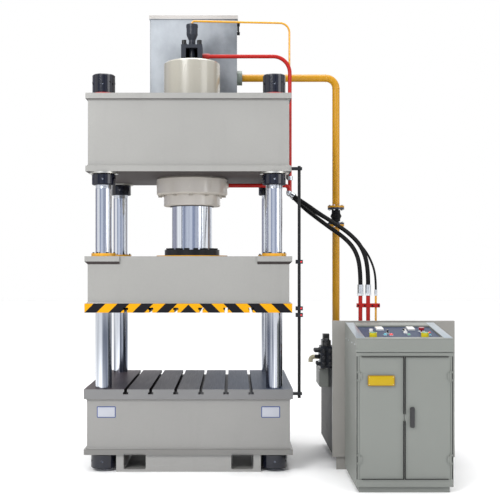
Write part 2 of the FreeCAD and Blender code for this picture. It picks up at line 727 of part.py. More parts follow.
def cylinder():
    """Barrel with its flange, gland and ring nut."""
    edge = 12
    flange = "barrel_flange_diameter / 2"
    outer = "barrel_diameter / 2"
    bore = "barrel_bore / 2"
    bore_high = "barrel_high - barrel_end"
    barrel = turned("barrel", [
        (bore, "barrel_low"), (f"{flange} - {edge}", "barrel_low"), (flange, f"barrel_low + {edge}"),
        (flange, f"beam_low - {edge}"), (f"{flange} - {edge}", "beam_low"), (outer, "beam_low"),
        (outer, f"barrel_high - {edge}"), (f"{outer} - {edge}", "barrel_high"),
        ("port_diameter / 2", "barrel_high"), ("port_diameter / 2", bore_high), (bore, bore_high)])
    port = rod("barrel_port", "pressure_pipe + 14", ("barrel_bore / 2 + wall",
                                                     "barrel_flange_diameter / 2 + 8"),
               -60, "barrel_port_high")
    keep(fuse("cylinder_barrel", barrel, port), "cylinder_barrel")
    inner = "rod_diameter / 2 + running_gap"
    collar = "gland_diameter / 2"
    spigot = f"{bore} - running_gap"
    keep(turned("cylinder_gland", [
        (inner, "gland_low"), (f"{collar} - {edge / 2}", "gland_low"), (collar, f"gland_low + {edge / 2}"),
        (collar, "barrel_low"), (spigot, "barrel_low"), (spigot, "barrel_low + gland_spigot"),
        (inner, "barrel_low + gland_spigot")]), "cylinder_gland")
    heights = ("beam_high", "beam_high + cylinder_nut_height")
    nut = ring("cylinder_ring_nut", "cylinder_nut_diameter", "barrel_diameter + 2 * running_gap", 0, 0,
               heights)
    notches = []
    notch = 40
    for side in SIDES:
        reach = mirrored(side, f"cylinder_nut_diameter / 2 - {notch / 2}", "cylinder_nut_diameter / 2 + 1")
        notches.append(block(f"nut_notch_x_{side + 1}", reach, centred(notch), heights))
        notches.append(block(f"nut_notch_y_{side + 1}", centred(notch), reach, heights))
    keep(cut("cylinder_nut", nut, *notches), "cylinder_nut")


def cylinder_bolts():
    """Screws under the barrel's flange and on the filling valve's corners."""
    screws = []
    flange_screws = 12
    head = 30
    circle = "(barrel_flange_diameter + gland_diameter) / 4"
    for number in range(flange_screws):
        angle = 360 / flange_screws * number
        screws.append(rod(f"gland_screw_{number}", head, f"{circle} * cos({angle})",
                          f"{circle} * sin({angle})",
                          ("barrel_low - bolt_head_height", "barrel_low")))
    valve_head = 36
    inset = 22
    for number, (across, along) in enumerate(CORNERS):
        screws.append(socket_screw(f"valve_screw_{number}", valve_head, valve_head,
                                   f"{across} * (valve_side / 2 - {inset})",
                                   f"{along} * (valve_side / 2 - {inset})", "valve_high"))
    keep(group("cylinder_bolts", screws), "cylinder_bolts")


# filling valve and tank

def prefill():
    """Block on the cylinder's head with a window, its turned bonnet, and the pipe to the tank."""
    half = "valve_side / 2"
    body = block("valve_block", centred("valve_side"), centred("valve_side"), ("barrel_high", "valve_high"))
    roof = 16
    chamber = rod("valve_chamber", "port_diameter", 0, 0, ("barrel_high", f"valve_high - {roof}"))
    window = block("valve_window", centred(92), (f"-({half}) - 1", "0"),
                   ("barrel_high + 24", f"valve_high - {roof + 10}"))
    inlet = rod("valve_inlet", "suction_diameter - 12", 0, ("0", f"{half} + 1"), "suction_high")
    poppet = rod("valve_poppet", "bonnet_neck", 0, 0, ("barrel_high + 12", "valve_high - 1"))
    keep(fuse("prefill_valve", cut("valve_hollow", body, chamber, window, inlet), poppet), "prefill_valve")
    neck = "bonnet_neck / 2"
    wide = "bonnet_diameter / 2"
    keep(turned("prefill_bonnet", [
        (0, "valve_high"), (neck, "valve_high"), (neck, "valve_high + 48"), (wide, "valve_high + 90"),
        (wide, "bonnet_high - 24"), (f"{wide} + 2", "bonnet_high - 24"), (f"{wide} + 2", "bonnet_high - 3"),
        (f"{wide} - 1", "bonnet_high"), (0, "bonnet_high")]), "prefill_bonnet")
    flange = 12
    tube = rod("suction_tube", "suction_diameter", 0, (half, "tank_front"), "suction_high")
    ends = [rod("suction_flange_near", "suction_diameter + 30", 0, (half, f"{half} + {flange}"),
                "suction_high"),
            rod("suction_flange_far", "suction_diameter + 30", 0, (f"tank_front - {flange}", "tank_front"),
                "suction_high")]
    bore = rod("suction_bore", "suction_diameter - 12", 0, (f"{half} - 1", "tank_front + 1"), "suction_high")
    keep(cut("suction_pipe", fuse("suction_solid", tube, *ends), bore), "suction_pipe")


def filling_tank():
    """Sheet tank on the top beam, open at the top, and its folded lid."""
    back = "tank_front + tank_width"
    box = block("tank_box", centred("tank_length"), ("tank_front", back), ("beam_high", "tank_high"))
    inside = block("tank_inside", centred("tank_length - 2 * tank_wall"),
                   ("tank_front + tank_wall", f"{back} - tank_wall"),
                   ("beam_high + tank_wall", "tank_high + 1"))
    suction = rod("tank_suction", "suction_diameter - 12", 0, ("tank_front - 1", "tank_front + wall"),
                  "suction_high")
    inlet = rod("tank_inlet", "return_pipe - 8", ("tank_length / 2 - wall", "tank_length / 2 + 1"),
                "return_row", "return_high")
    keep(cut("filling_tank", box, inside, suction, inlet), "filling_tank")
    lid_high = "tank_high + lid_height"
    slab = block("lid_slab", centred("tank_length + 2 * lid_proud"),
                 ("tank_front - lid_proud", f"{back} + lid_proud"), ("tank_high", lid_high))
    under = block("lid_under", centred("tank_length - 2 * lid_proud"),
                  ("tank_front + lid_proud", f"{back} - lid_proud"),
                  ("tank_high - 1", f"{lid_high} - tank_wall"))
    keep(cut("filling_tank_lid", slab, under), "filling_tank_lid")


# pipes and hoses

def return_line():
    """Return pipe from tank to power unit, with a rubber joint between two pairs of flanges."""
    row = size("return_row")
    drop = size("return_drop")
    high = size("return_high")
    top = size("joint_high")
    low = size("joint_low")
    bore = "return_pipe + 2 * seat_gap"
    upper = bent_tube("return_upper_tube", [(size("tank_length") / 2, row, high), (drop, row, high),
                                            (drop, row, top)], size("return_pipe"), [size("return_bend")])
    lower = bent_tube("return_lower_tube", [(drop, row, size("unit_high") + size("unit_wall")),
                                            (drop, row, low)], size("return_pipe"), [])
    flanges = [rod(f"return_flange_{number}", "joint_flange_diameter", "return_drop", "return_row", heights)
               for number, heights in enumerate((("joint_high", "joint_high + joint_flange_thickness"),
                                                 ("joint_low - joint_flange_thickness", "joint_low")))]
    keep(group("return_pipes", [fuse("return_upper", upper, flanges[0]),
                                fuse("return_lower", lower, flanges[1])]),
         "return_pipes")
    inner_low = "joint_low + joint_flange_thickness"
    inner_high = "joint_high - joint_flange_thickness"
    sleeve = rod("bellows_sleeve", "return_pipe + 10", "return_drop", "return_row", (inner_low, inner_high))
    bulge = ball("bellows_ball", "joint_ball", "return_drop", "return_row", "(joint_low + joint_high) / 2")
    bellows_bore = rod("bellows_bore", "return_pipe - 8", "return_drop", "return_row",
                       ("joint_low - 1", "joint_high + 1"))
    keep(cut("expansion_bellows", fuse("bellows_solid", sleeve, bulge), bellows_bore), "expansion_bellows")
    rings = [ring(f"joint_ring_{number}", "joint_flange_diameter", "return_pipe - 8", "return_drop",
                  "return_row", heights)
             for number, heights in enumerate((("joint_low", inner_low), (inner_high, "joint_high")))]
    union_side = ("tank_length / 2", "tank_length / 2 + 45")
    union = cut("tank_union", rod("tank_union_outer", "joint_flange_diameter - 18", union_side, "return_row",
                                  "return_high"),
                rod("tank_union_bore", bore, union_side, "return_row", "return_high"))
    keep(group("pipe_flanges", rings + [union]), "pipe_flanges")
    if 4 * size("joint_flange_thickness") > top - low:
        raise ValueError("the rubber joint is shorter than its flanges")


def small_pipes():
    """Pressure pipes (red) and pilot pipes (yellow): beside the press and behind the cover."""
    drop = size("pipe_drop")
    end = size("pipe_end")
    manifold = size("manifold_front")
    riser_row = size("riser_row")
    riser_high = size("riser_high")
    pressure = size("pressure_pipe")
    fitting = size("valve_side") / 2 + 54
    high = size("pressure_pipe_high")
    port = size("barrel_port_high")
    pipes = [
        bent_tube("pressure_upper", [(fitting, 10, high), (drop, 10, high), (drop, 10, end)], pressure,
                  [130]),
        bent_tube("pressure_lower", [(size("barrel_flange_diameter") / 2 + 8, -60, port),
                                     (drop - 12, -60, port),
                                     (drop - 12, -60, end)], pressure, [30])]
    for number in range(2):
        across = size("riser_first") + number * size("riser_pitch")
        pipes.append(bent_tube(f"pressure_riser_{number}",
                               [(across, riser_row, riser_high), (across, riser_row, 790),
                                (across, manifold, 790)],
                               pressure, [60]))
    keep(group("pressure_pipes", pipes), "pressure_pipes")
    pilot = size("pilot_pipe")
    pilot_high = size("pilot_pipe_high")
    across = size("riser_first") + 2 * size("riser_pitch")
    pilots = [
        bent_tube("pilot_upper", [(0, 0, size("bonnet_high")), (0, 0, pilot_high), (drop, 60, pilot_high),
                                  (drop, 60, end)], pilot, [20, 75]),
        bent_tube("pilot_riser", [(across, riser_row, riser_high), (across, riser_row, 830),
                                  (across, manifold, 830)], pilot, [40])]
    keep(group("pilot_pipes", pilots), "pilot_pipes")


def hose_elbow(name, pipe, points, hose_diameter):
    """A fitting on a pipe's lower end whose ferrule ends where the hose begins."""
    nut_height = hose_diameter * 0.62 + 1
    bend = FreeCAD.Vector(*pipe) - FreeCAD.Vector(0, 0, nut_height)
    start = FreeCAD.Vector(*points[0])
    nut = Part.makeCylinder(hose_diameter * 0.62, nut_height, bend, FreeCAD.Vector(0, 0, 1))
    joint = Part.makeSphere(hose_diameter * 0.62, bend)
    ahead = (FreeCAD.Vector(*points[1]) - start).normalize()
    ferrule = Part.makeCylinder(hose_diameter * 0.66, 34, start - ahead * 34, ahead)
    link = Part.makeCylinder(hose_diameter * 0.45, (start - bend).Length - 20, bend, start - bend)
    fitting = doc.addObject("Part::Feature", name)
    fitting.Shape = nut.fuse([joint, ferrule, link]).removeSplitter()
    fitting.Placement = FreeCAD.Placement()
    return fitting


def hoses():
    """Three free hoses and the fittings on both their ends."""
    drop = size("pipe_drop")
    end = size("pipe_end")
    routes = [("hose_pressure_a", HOSE_A, LARGE_HOSE, (drop, 10, end)),
              ("hose_pressure_b", HOSE_B, LARGE_HOSE, (drop - 12, -60, end)),
              ("hose_pilot", HOSE_C, SMALL_HOSE, (drop, 60, end))]
    fittings = []
    for number, (name, points, diameter, pipe) in enumerate(routes):
        radii = cord_radii(points)
        print(name, "radii", [round(radius) for radius in radii])
        keep(bent_tube(name + "_tube", points, diameter, radii), name)
        fittings.append(hose_elbow(f"hose_elbow_{number}", pipe, points, diameter))
        crimp_high = points[-1][2]
        fittings.append(rod(f"hose_crimp_{number}", diameter * 1.35, f"riser_first + {number} * riser_pitch",
                            "riser_row", ("riser_high", crimp_high)))
    fittings.append(ring("pipe_union", "pressure_pipe + 16", "pressure_pipe + 2 * seat_gap", "pipe_drop", 10,
                         ("beam_low - 10", "beam_low + 22")))
    fittings.append(rod("valve_port", "pressure_pipe + 14", ("valve_side / 2", "valve_side / 2 + 54"), 10,
                        "pressure_pipe_high"))
    keep(group("hose_fittings", fittings), "hose_fittings")


def cord_radii(points):
    """For each inner point, the arc that its shorter run allows."""
    corners = [FreeCAD.Vector(*point) for point in points]
    radii = []
    for before, corner, after in zip(corners, corners[1:], corners[2:]):
        into = corner - before
        out = after - corner
        radii.append(0.45 * min(into.Length, out.Length) / math.tan(into.getAngle(out) / 2))
    return radii


def pipe_clamp():
    """Clamp bar across the risers."""
    margin = 28
    bar = block("clamp_bar", (f"riser_first - {margin}", f"riser_first + 2 * riser_pitch + {margin}"),
                about("riser_row", 36), about("clamp_high", 30))
    heights = ("clamp_high - 20", "clamp_high + 20")
    bores = [rod(f"clamp_bore_{number}", f"{pipe} + 2 * seat_gap", f"riser_first + {number} * riser_pitch",
                 "riser_row", heights) for number, pipe in enumerate(("pressure_pipe", "pressure_pipe",
                                                                      "pilot_pipe"))]
    keep(cut("pipe_clamp", bar, *bores), "pipe_clamp")


def position_scale():
    """Upright rod beside the slide, its two brackets and three sensor blocks."""
    keep(rod("position_rod", "scale_diameter", "scale_across", "scale_row", ("scale_low", "scale_high")),
         "position_rod")
    bore = "scale_diameter + 2 * seat_gap"
    blocks = []
    brackets = [("beam_plate_length / 2", about("beam_low + 18", 20)),
                ("table_length / 2", about("table_high - 30", 20))]
    for number, (near, heights) in enumerate(brackets):
        blocks.append(block(f"scale_bracket_{number}", (near, "scale_across + 20"), about("scale_row", 40),
                            heights))
    for number, height in enumerate((1510, 1176, 1129)):
        blocks.append(block(f"sensor_block_{number}", about("scale_across", 50), about("scale_row", 44),
                            about(height, 28)))
    pieces = [cut(f"scale_piece_{number}", piece, rod(f"scale_bore_{number}", bore, "scale_across",
                                                      "scale_row",
                                                      ("scale_low", "scale_high")))
              for number, piece in enumerate(blocks)]
    keep(group("rod_clamps", pieces), "rod_clamps")


# the power unit

def reservoir():
    """Welded oil tank on two skids; the filler and the return pipe open through its top."""
    left, right, front, back = "unit_left", "unit_right", "unit_front", "unit_back"
    high = "unit_high + unit_wall"
    box = block("unit_box", (left, right), (front, back), ("unit_low", high))
    skids = [block(f"unit_skid_{side + 1}", about(f"({left} + {right}) / 2 + {side} * 330", 60),
                   (f"{front} + wall", f"{back} - wall"), ("0", "unit_low")) for side in SIDES]
    inside = block("unit_inside", (f"{left} + unit_wall", f"{right} - unit_wall"),
                   (f"{front} + unit_wall", f"{back} - unit_wall"), ("unit_low + unit_wall", "unit_high"))
    filler = rod("unit_filler", 60, f"{right} - 120", f"{back} - 90", ("unit_high - 1", f"{high} + 1"))
    inlet = rod("unit_inlet", "return_pipe - 8", "return_drop", "return_row",
                ("unit_high - 1", f"{high} + 1"))
    keep(cut("reservoir", fuse("unit_solid", box, *skids), inside, filler, inlet), "reservoir")


def unit_cover():
    """Folded front cover on a plinth, held off the tank by four spacers."""
    left, right = "unit_left - 9", "unit_right"
    back = "cover_front + cover_depth"
    sheet_thickness = 4
    low = "unit_low + 4"
    panel = block("cover_panel", (left, right), ("cover_front", back), (low, "cover_high"))
    hollow = block("cover_hollow", (f"{left} + {sheet_thickness}", f"{right} - {sheet_thickness}"),
                   (f"cover_front + {sheet_thickness}", f"{back} + 1"),
                   (f"{low} + {sheet_thickness}", f"cover_high - {sheet_thickness}"))
    plinth = block("cover_plinth", (f"{left} + wall", f"{right} - wall"),
                   ("cover_front + plinth_setback", back),
                   ("0", f"{low} + 1"))
    spacers = [block(f"cover_spacer_{number}", about(f"({left} + {right}) / 2 + {across} * 360", 40),
                     ("cover_front + 1", "unit_front"), about(f"unit_low + 300 + {up} * 180", 40))
               for number, (across, up) in enumerate(CORNERS)]
    keep(fuse("unit_cover", cut("cover_shell", panel, hollow), plinth, *spacers), "unit_cover")


def motor_and_pump():
    """Flange motor, bellhousing, jaw coupling and pump, on one axis along X."""
    axis = ("motor_row", "motor_high")
    right = "motor_left + motor_length"
    floor = "unit_high + unit_wall"
    barrel = rod("motor_barrel", "motor_diameter", ("motor_left", right), *axis)
    feet = block("motor_feet", about("motor_left + motor_length / 2", 240), about("motor_row", 250),
                 (floor, "motor_high - motor_diameter / 2 + 20"))
    box = block("motor_box", about("motor_left + motor_length / 2", 130),
                ("motor_row + motor_diameter / 3", "motor_row + motor_diameter / 2 + 45"),
                about("motor_high + 20", 110))
    shaft = rod("motor_bearing_bore", "shaft_diameter + 2 * running_gap",
                ("motor_left - 1", "motor_left + 20"), *axis)
    keep(cut("pump_motor", fuse("motor_solid", barrel, feet, box), shaft), "pump_motor")
    bell_left = "motor_left - bell_length"
    bell = rod("bell_outer", "motor_diameter - 60", (bell_left, "motor_left"), *axis)
    bell_hollow = rod("bell_hollow", "motor_diameter - 100", (f"{bell_left} + 12", "motor_left + 1"), *axis)
    bell_bore = rod("bell_bore", "shaft_diameter + 2 * loose_gap",
                    (f"{bell_left} - 1", f"{bell_left} + 13"), *axis)
    bell_window = block("bell_window", about("motor_left - bell_length / 2", 60), about("motor_row", 70),
                        ("motor_high", "motor_high + motor_diameter"))
    keep(cut("bellhousing", bell, bell_hollow, bell_bore, bell_window), "bellhousing")
    hubs = rod("coupling_hubs", 90, (f"{bell_left} + 22", "motor_left - 10"), *axis)
    groove = ring_along_x("coupling_groove", 91, 60, "motor_left - bell_length / 2", 10, axis)
    ends = rod("coupling_shaft", "shaft_diameter", (f"{bell_left} - 8", "motor_left + 18"), *axis)
    keep(fuse("shaft_coupling", cut("coupling_body", hubs, groove), ends), "shaft_coupling")
    pump_left = f"{bell_left} - pump_length"
    body = rod("pump_body", "motor_diameter - 130", (pump_left, bell_left), *axis)
    ears = block("pump_ears", (f"{bell_left} - 24", bell_left), about("motor_row", 200),
                 about("motor_high", 90))
    pump_bore = rod("pump_bore", "shaft_diameter + 2 * running_gap",
                    (f"{bell_left} - 12", f"{bell_left} + 1"), *axis)
    leg = block("pump_leg", about(f"{pump_left} + 60", 60), about("motor_row", 90),
                (floor, "motor_high - 60"))
    keep(cut("pump", fuse("pump_solid", body, ears, leg), pump_bore), "pump")


def ring_along_x(name, outer, inner, middle, width, axis):
    """A ring about an axis along X."""
    stretch = about(middle, width)
    return cut(name, rod(name + "_outer", outer, stretch, *axis),
               rod(name + "_inner", inner, stretch, *axis))


def valve_gear():
    """Steel manifold on the oil tank with ports in its end, and solenoid valves on top of it."""
    floor = "unit_high + unit_wall"
    body = block("manifold_block", ("manifold_left", "manifold_right"), ("manifold_front", "manifold_back"),
                 (floor, "manifold_high"))
    ports = [rod(f"manifold_port_{number}", 26, ("manifold_left - 1", "manifold_left + 30"),
                 "(manifold_front + manifold_back) / 2", f"{floor} + {height}")
             for number, height in enumerate((40, 110))]
    keep(cut("valve_manifold", body, *ports), "valve_manifold")
    valves = []
    middle = "(manifold_front + manifold_back) / 2"
    pitch = 140
    for number in range(3):
        x = f"manifold_left + 45 + {number} * {pitch}"
        base = block(f"valve_base_{number}", about(x, 66), about(middle, 110),
                     ("manifold_high", "manifold_high + 44"))
        coil = block(f"valve_coil_{number}", about(x, 48), about(middle, 60),
                     ("manifold_high + 44", "manifold_high + 92"))
        tube = rod(f"valve_tube_{number}", 30, x, (f"{middle} - 85", f"{middle} + 85"), "manifold_high + 22")
        valves.append(fuse(f"solenoid_valve_{number}", base, coil, tube))
    keep(group("solenoid_valves", valves), "solenoid_valves")


def unit_wiring():
    """Terminal box on the oil tank's side, the gooseneck above it and the duct to the console."""
    box_left = "unit_left - 64"
    keep(block("junction_box", (box_left, "unit_left"), ("-140", "150"), ("551", "690")), "junction_box")
    left = size("unit_left") - 100
    row = -60
    neck = bent_tube("gooseneck", [(size("unit_left") - 32, row, 690), (size("unit_left") - 32, row, 775),
                                   (left - 30, row, 775), (left - 30, row, 735)], 34, [40, 26])
    duct = block("cable_duct", about("(console_left + console_right) / 2", 90),
                 ("console_back", "cover_front"), about("300", 60))
    keep(group("cable_ducts", [neck, duct]), "cable_ducts")


# the console

def on_slope(thing, across, up, out):
    """Place an object in the head's sloping frame: across, up the slope, and out of it."""
    y = f"console_front + ({up}) * cos(panel_slope) - ({out}) * sin(panel_slope)"
    z = f"head_high + ({up}) * sin(panel_slope) + ({out}) * cos(panel_slope)"
    place(thing, across, y, z, (1, 0, 0), size("panel_slope"))
    thing.setExpression("Placement.Rotation.Angle", "sizes.panel_slope")
    return thing


def slope_block(name, across, up, out):
    """A box in the sloping frame; each argument is a pair of rules."""
    box = doc.addObject("Part::Box", name)
    for side, (low, high) in (("Length", across), ("Width", up), ("Height", out)):
        box.setExpression(side, bound(f"({high}) - ({low})"))
    return on_slope(box, across[0], up[0], out[0])


def slope_rod(name, diameter, across, up, out):
    """A cylinder standing on the slope."""
    cylinder = doc.addObject("Part::Cylinder", name)
    cylinder.setExpression("Radius", bound(f"({diameter}) / 2"))
    cylinder.setExpression("Height", bound(f"({out[1]}) - ({out[0]})"))
    return on_slope(cylinder, across, up, out[0])


# the buttons' places on the slope: name -> (across, up the slope)
PALM_PLACES = {"palm_button_left": (1250, 104), "palm_button_right": (1593, 104)}
STOP_PLACE = (1610, 300)
RESET_PLACE = (1263, 285)
START_PLACE = (1498, 322)
SELECTOR_PLACES = {"selector_left": (1370, 255), "selector_right": (1492, 255)}
METER_PLACES = (1335, 1552)


def console():
    """Cabinet with a sloping recessed top and an opening for two doors, on a plinth."""
    middle = "(console_left + console_right) / 2"
    width = "console_right - console_left"
    lip = 6
    groove = 6
    rise = "(console_back - console_front) * tan(panel_slope)"
    body = padded("console_body", "YZ_Plane", [
        ("console_front", "plinth_height"), ("console_back", "plinth_height"),
        ("console_back", f"head_high + {rise}"), ("console_front", "head_high"),
        (f"console_front - {lip}", f"head_high - {lip}"), (f"console_front - {lip}", "neck_high"),
        (f"console_front + {groove}", "neck_high"), (f"console_front + {groove}", f"neck_high - {groove}"),
        ("console_front", f"neck_high - {groove}")], width)
    place(body, middle)
    plinth = block("console_plinth", ("console_left + plinth_setback", "console_right - plinth_setback"),
                   ("console_front + plinth_setback", "console_back - plinth_setback"),
                   ("0", "plinth_height"))
    inset = 26
    hollow = padded("console_hollow", "YZ_Plane", [
        (f"console_front + {inset}", "plinth_height + console_wall"),
        ("console_back - console_wall", "plinth_height + console_wall"),
        ("console_back - console_wall", f"head_high + {rise} - {inset}"),
        (f"console_front + {inset}", f"head_high - {inset}")], f"{width} - 2 * console_wall")
    place(hollow, middle)
    doorway = block("console_doorway", ("door_left_edge - door_gap", "door_right_edge + door_gap"),
                    ("console_front - 1", f"console_front + {inset + 1}"),
                    ("door_low - door_gap", "door_high + door_gap"))
    recess = slope_block("console_recess", ("recess_left", "recess_right"), ("recess_near", "recess_far"),
                         ("-recess_depth", "wall"))
    ledge = 16
    opening = slope_block("console_opening", (f"recess_left + {ledge}", f"recess_right - {ledge}"),
                          (f"recess_near + {ledge}", f"recess_far - {ledge}"), ("-60", "0"))
    keep(cut("console_cabinet", fuse("console_solid", body, plinth), hollow, doorway, recess, opening),
         "console_cabinet")


def control_panel():
    """Plate in the recess, drilled for the buttons, with a mounting tube under each moving one."""
    gap = 0.5
    low = "-recess_depth"
    high = "-recess_depth + panel_thickness"
    plate = slope_block("panel_plate", (f"recess_left + {gap}", f"recess_right - {gap}"),
                        (f"recess_near + {gap}", f"recess_far - {gap}"), (low, high))
    spots = list(PALM_PLACES.values()) + [STOP_PLACE, RESET_PLACE,
                                          START_PLACE] + list(SELECTOR_PLACES.values())
    tubes = [slope_rod(f"panel_tube_{number}", "stem_diameter + 10", *spot, (f"{low} - 24", low))
             for number, spot in enumerate(spots)]
    bores = [slope_rod(f"panel_bore_{number}", "stem_diameter + 2 * seat_gap", *spot,
                       (f"{low} - 25", f"{high} + 1"))
             for number, spot in enumerate(spots)]
    keep(cut("control_panel", fuse("panel_solid", plate, *tubes), *bores), "control_panel")


def panel_guards():
    """Two yellow guards round the palm buttons and two meter housings."""
    face = "-recess_depth + panel_thickness"
    things = []
    for number, spot in enumerate(PALM_PLACES.values()):
        outer = slope_rod(f"guard_outer_{number}", "guard_diameter", *spot, (face, f"{face} + guard_height"))
        inner = slope_rod(f"guard_inner_{number}", "button_diameter + 2 * loose_gap", *spot,
                          (face, f"{face} + guard_height"))
        things.append(cut(f"guard_{number}", outer, inner))
    for number, across in enumerate(METER_PLACES):
        things.append(slope_block(f"meter_{number}", about(across, 50), ("345", "435"),
                                  (face, f"{face} + 10")))
    keep(group("panel_guards", things), "panel_guards")


def push_button(name, spot, cap_diameter, cap_low, cap_high):
    """A round cap on a stem; cap heights are above the panel's face."""
    face = "(-recess_depth + panel_thickness)"
    cap = slope_rod(name + "_cap", cap_diameter, *spot, (f"{face} + {cap_low}", f"{face} + {cap_high}"))
    stem = slope_rod(name + "_stem", "stem_diameter", *spot, (f"{face} - 30", f"{face} + {cap_low} + 1"))
    keep(fuse(name, cap, stem), name)


def buttons():
    """Palm buttons, emergency stop, reset and start buttons, and two selector switches."""
    for name, spot in PALM_PLACES.items():
        push_button(name, spot, "button_diameter", "press_travel + 13", "press_travel + 27")
    push_button("stop_button", STOP_PLACE, "stop_diameter", "press_travel + 8", "press_travel + 24")
    push_button("reset_button", RESET_PLACE, "small_button", "press_travel + 2", "press_travel + 16")
    push_button("start_button", START_PLACE, "small_button", "press_travel + 2", "press_travel + 12")
    face = "(-recess_depth + panel_thickness)"
    for name, spot in SELECTOR_PLACES.items():
        across, up = spot
        collar = slope_rod(name + "_collar", "small_button", *spot, (f"{face} + 1", f"{face} + 8"))
        lever = slope_block(name + "_lever", about(across, 8), about(up, "small_button"),
                            (f"{face} + 7", f"{face} + 22"))
        stem = slope_rod(name + "_stem", "stem_diameter", *spot, (f"{face} - 30", f"{face} + 2"))
        keep(fuse(name, collar, lever, stem), name)


def hinge_heights():
    """Middle heights of each door's two hinges."""
    return ("door_low + 130", "door_high - 130")


def door(name, left, right, edge, inward):
    """A folded sheet door with two hinge leaves; inward points from its hinge side to its middle."""
    skin = 2.5
    back = "console_front + door_thickness"
    panel = block(name + "_panel", (left, right), ("console_front", back), ("door_low", "door_high"))
    pan = block(name + "_pan", (f"{left} + {skin}", f"{right} - {skin}"),
                (f"console_front + {skin}", f"{back} + 1"),
                (f"door_low + {skin}", f"door_high - {skin}"))
    axis = f"{edge} - {inward} * door_gap"
    leaves = []
    bores = []
    for number, middle in enumerate(hinge_heights()):
        heights = about(middle, 40)
        reach = (edge, f"{edge} + 18") if inward > 0 else (f"{edge} - 18", edge)
        leaf = block(f"{name}_leaf_{number}", reach, ("console_front - hinge_out + 2", "console_front"),
                     heights)
        arm = block(f"{name}_arm_{number}", (axis, reach[1]) if inward > 0 else (reach[0], axis),
                    ("console_front - hinge_out - 1", "console_front - hinge_out + 3"), heights)
        knuckle = rod(f"{name}_knuckle_{number}", "knuckle_diameter", axis, "console_front - hinge_out",
                      heights)
        leaves += [leaf, arm, knuckle]
        bores.append(rod(f"{name}_pin_bore_{number}", "hinge_pin + 2 * running_gap", axis,
                         "console_front - hinge_out", about(middle, 42)))
    return [cut(name + "_tray", panel, pan)] + leaves, bores


def doors():
    """Two doors; the right one carries the lock handle's spindle."""
    solids, bores = door("door_left", "door_left_edge", "door_split - door_gap", "door_left_edge", 1)
    keep(cut("door_left", fuse("door_left_solid", *solids), *bores), "door_left")
    solids, bores = door("door_right", "door_split + door_gap", "door_right_edge", "door_right_edge", -1)
    spindle = rod("door_spindle_bore", "stem_diameter + 2 * seat_gap", "handle_across",
                  ("console_front - 1", "console_front + 10"), "handle_high")
    keep(cut("door_right", fuse("door_right_solid", *solids), spindle, *bores), "door_right")


def door_hinges():
    """Pins with the frame-side knuckles above and below each door knuckle."""
    pins = []
    for edge, outward in (("door_left_edge", -1), ("door_right_edge", 1)):
        axis = f"{edge} + {outward} * door_gap"
        for middle in hinge_heights():
            number = len(pins)
            pin = rod(f"hinge_pin_{number}", "hinge_pin", axis, "console_front - hinge_out",
                      about(middle, 64))
            parts = [pin]
            for side in SIDES:
                heights = about(f"{middle} + {side} * 26.4", 12)
                parts.append(rod(f"hinge_knuckle_{number}_{side + 1}", "knuckle_diameter", axis,
                                 "console_front - hinge_out", heights))
                reach = (f"{axis} - 14", axis) if outward < 0 else (axis, f"{axis} + 14")
                parts.append(block(f"hinge_leaf_{number}_{side + 1}", reach,
                                   ("console_front - hinge_out", "console_front"), heights))
            pins.append(fuse(f"hinge_{number}", *parts))
    keep(group("door_hinges", pins), "door_hinges")


def lock_handle():
    """Lever outside the right door, turning a short cam inside it."""
    front = "console_front - 3"
    lever = block("handle_lever", about("handle_across", "handle_width"), (f"{front} - 14", front),
                  about("handle_high", "handle_length"))
    soft = rounded("handle_round", lever, 6, lambda middle: abs(middle.y - size("console_front") + 10) < 3)
    boss = rod("handle_boss", "handle_width - 4", "handle_across", (f"{front} - 1", "console_front - 0.3"),
               "handle_high")
    spindle = rod("handle_spindle", "stem_diameter", "handle_across", (front, "console_front + 16"),
                  "handle_high")
    cam = block("handle_cam", about("handle_across", 16), ("console_front + 10", "console_front + 15"),
                ("handle_high - 10", "handle_high + 34"))
    keep(fuse("lock_handle", soft, boss, spindle, cam), "lock_handle")


def mounting_plate():
    """Plate inside the console with its contactors, drives and terminals."""
    back = "console_back - console_wall"
    plate = block("mounting_sheet", ("console_left + 60", "console_right - 60"),
                  (f"{back} - 20", f"{back} - 16"),
                  ("120", "860"))
    posts = [block(f"mounting_post_{number}", about(f"(console_left + console_right) / 2 + {across} * 200",
                                                    30),
                   (f"{back} - 17", back), about(f"490 + {up} * 300", 30)) for number,
                   (across, up) in enumerate(CORNERS)]
    gear = []
    rows = [(780, 4, 80, 90, 90), (600, 6, 54, 80, 80), (430, 2, 190, 140, 130), (250, 8, 44, 60, 50)]
    for height, count, width, tall, depth in rows:
        for number in range(count):
            across = f"(console_left + console_right) / 2 + {(number - (count - 1) / 2) * (width + 6)}"
            gear.append(block(f"gear_{height}_{number}", about(across, width),
                              (f"{back} - 20 - {depth}", f"{back} - 19"), about(height, tall)))
    keep(fuse("mounting_plate", plate, *posts, *gear), "mounting_plate")


def write_parts():
    """Check every object and every sub-part's shape, then write one file for each sub-part."""
    doc.recompute()
    for thing in doc.Objects:
        if "Invalid" in thing.State or "Error" in thing.State:
            raise ValueError(f"{thing.Name} failed: {thing.State}")
    for piece in PIECES:
        if piece.Shape.isNull() or not piece.Shape.isValid():
            raise ValueError(f"{piece.Label} has no valid shape")
    os.makedirs("parts", exist_ok=True)
    for piece in PIECES:
        piece.Shape.exportStep(f"parts/{piece.Label}.step")
        box = piece.Shape.BoundBox
        print(f"{piece.Label:22} solids {len(piece.Shape.Solids):3}  volume {piece.Shape.Volume / 1e6:10.2f} dm3"
              f"  z {box.ZMin:7.1f} .. {box.ZMax:7.1f}")


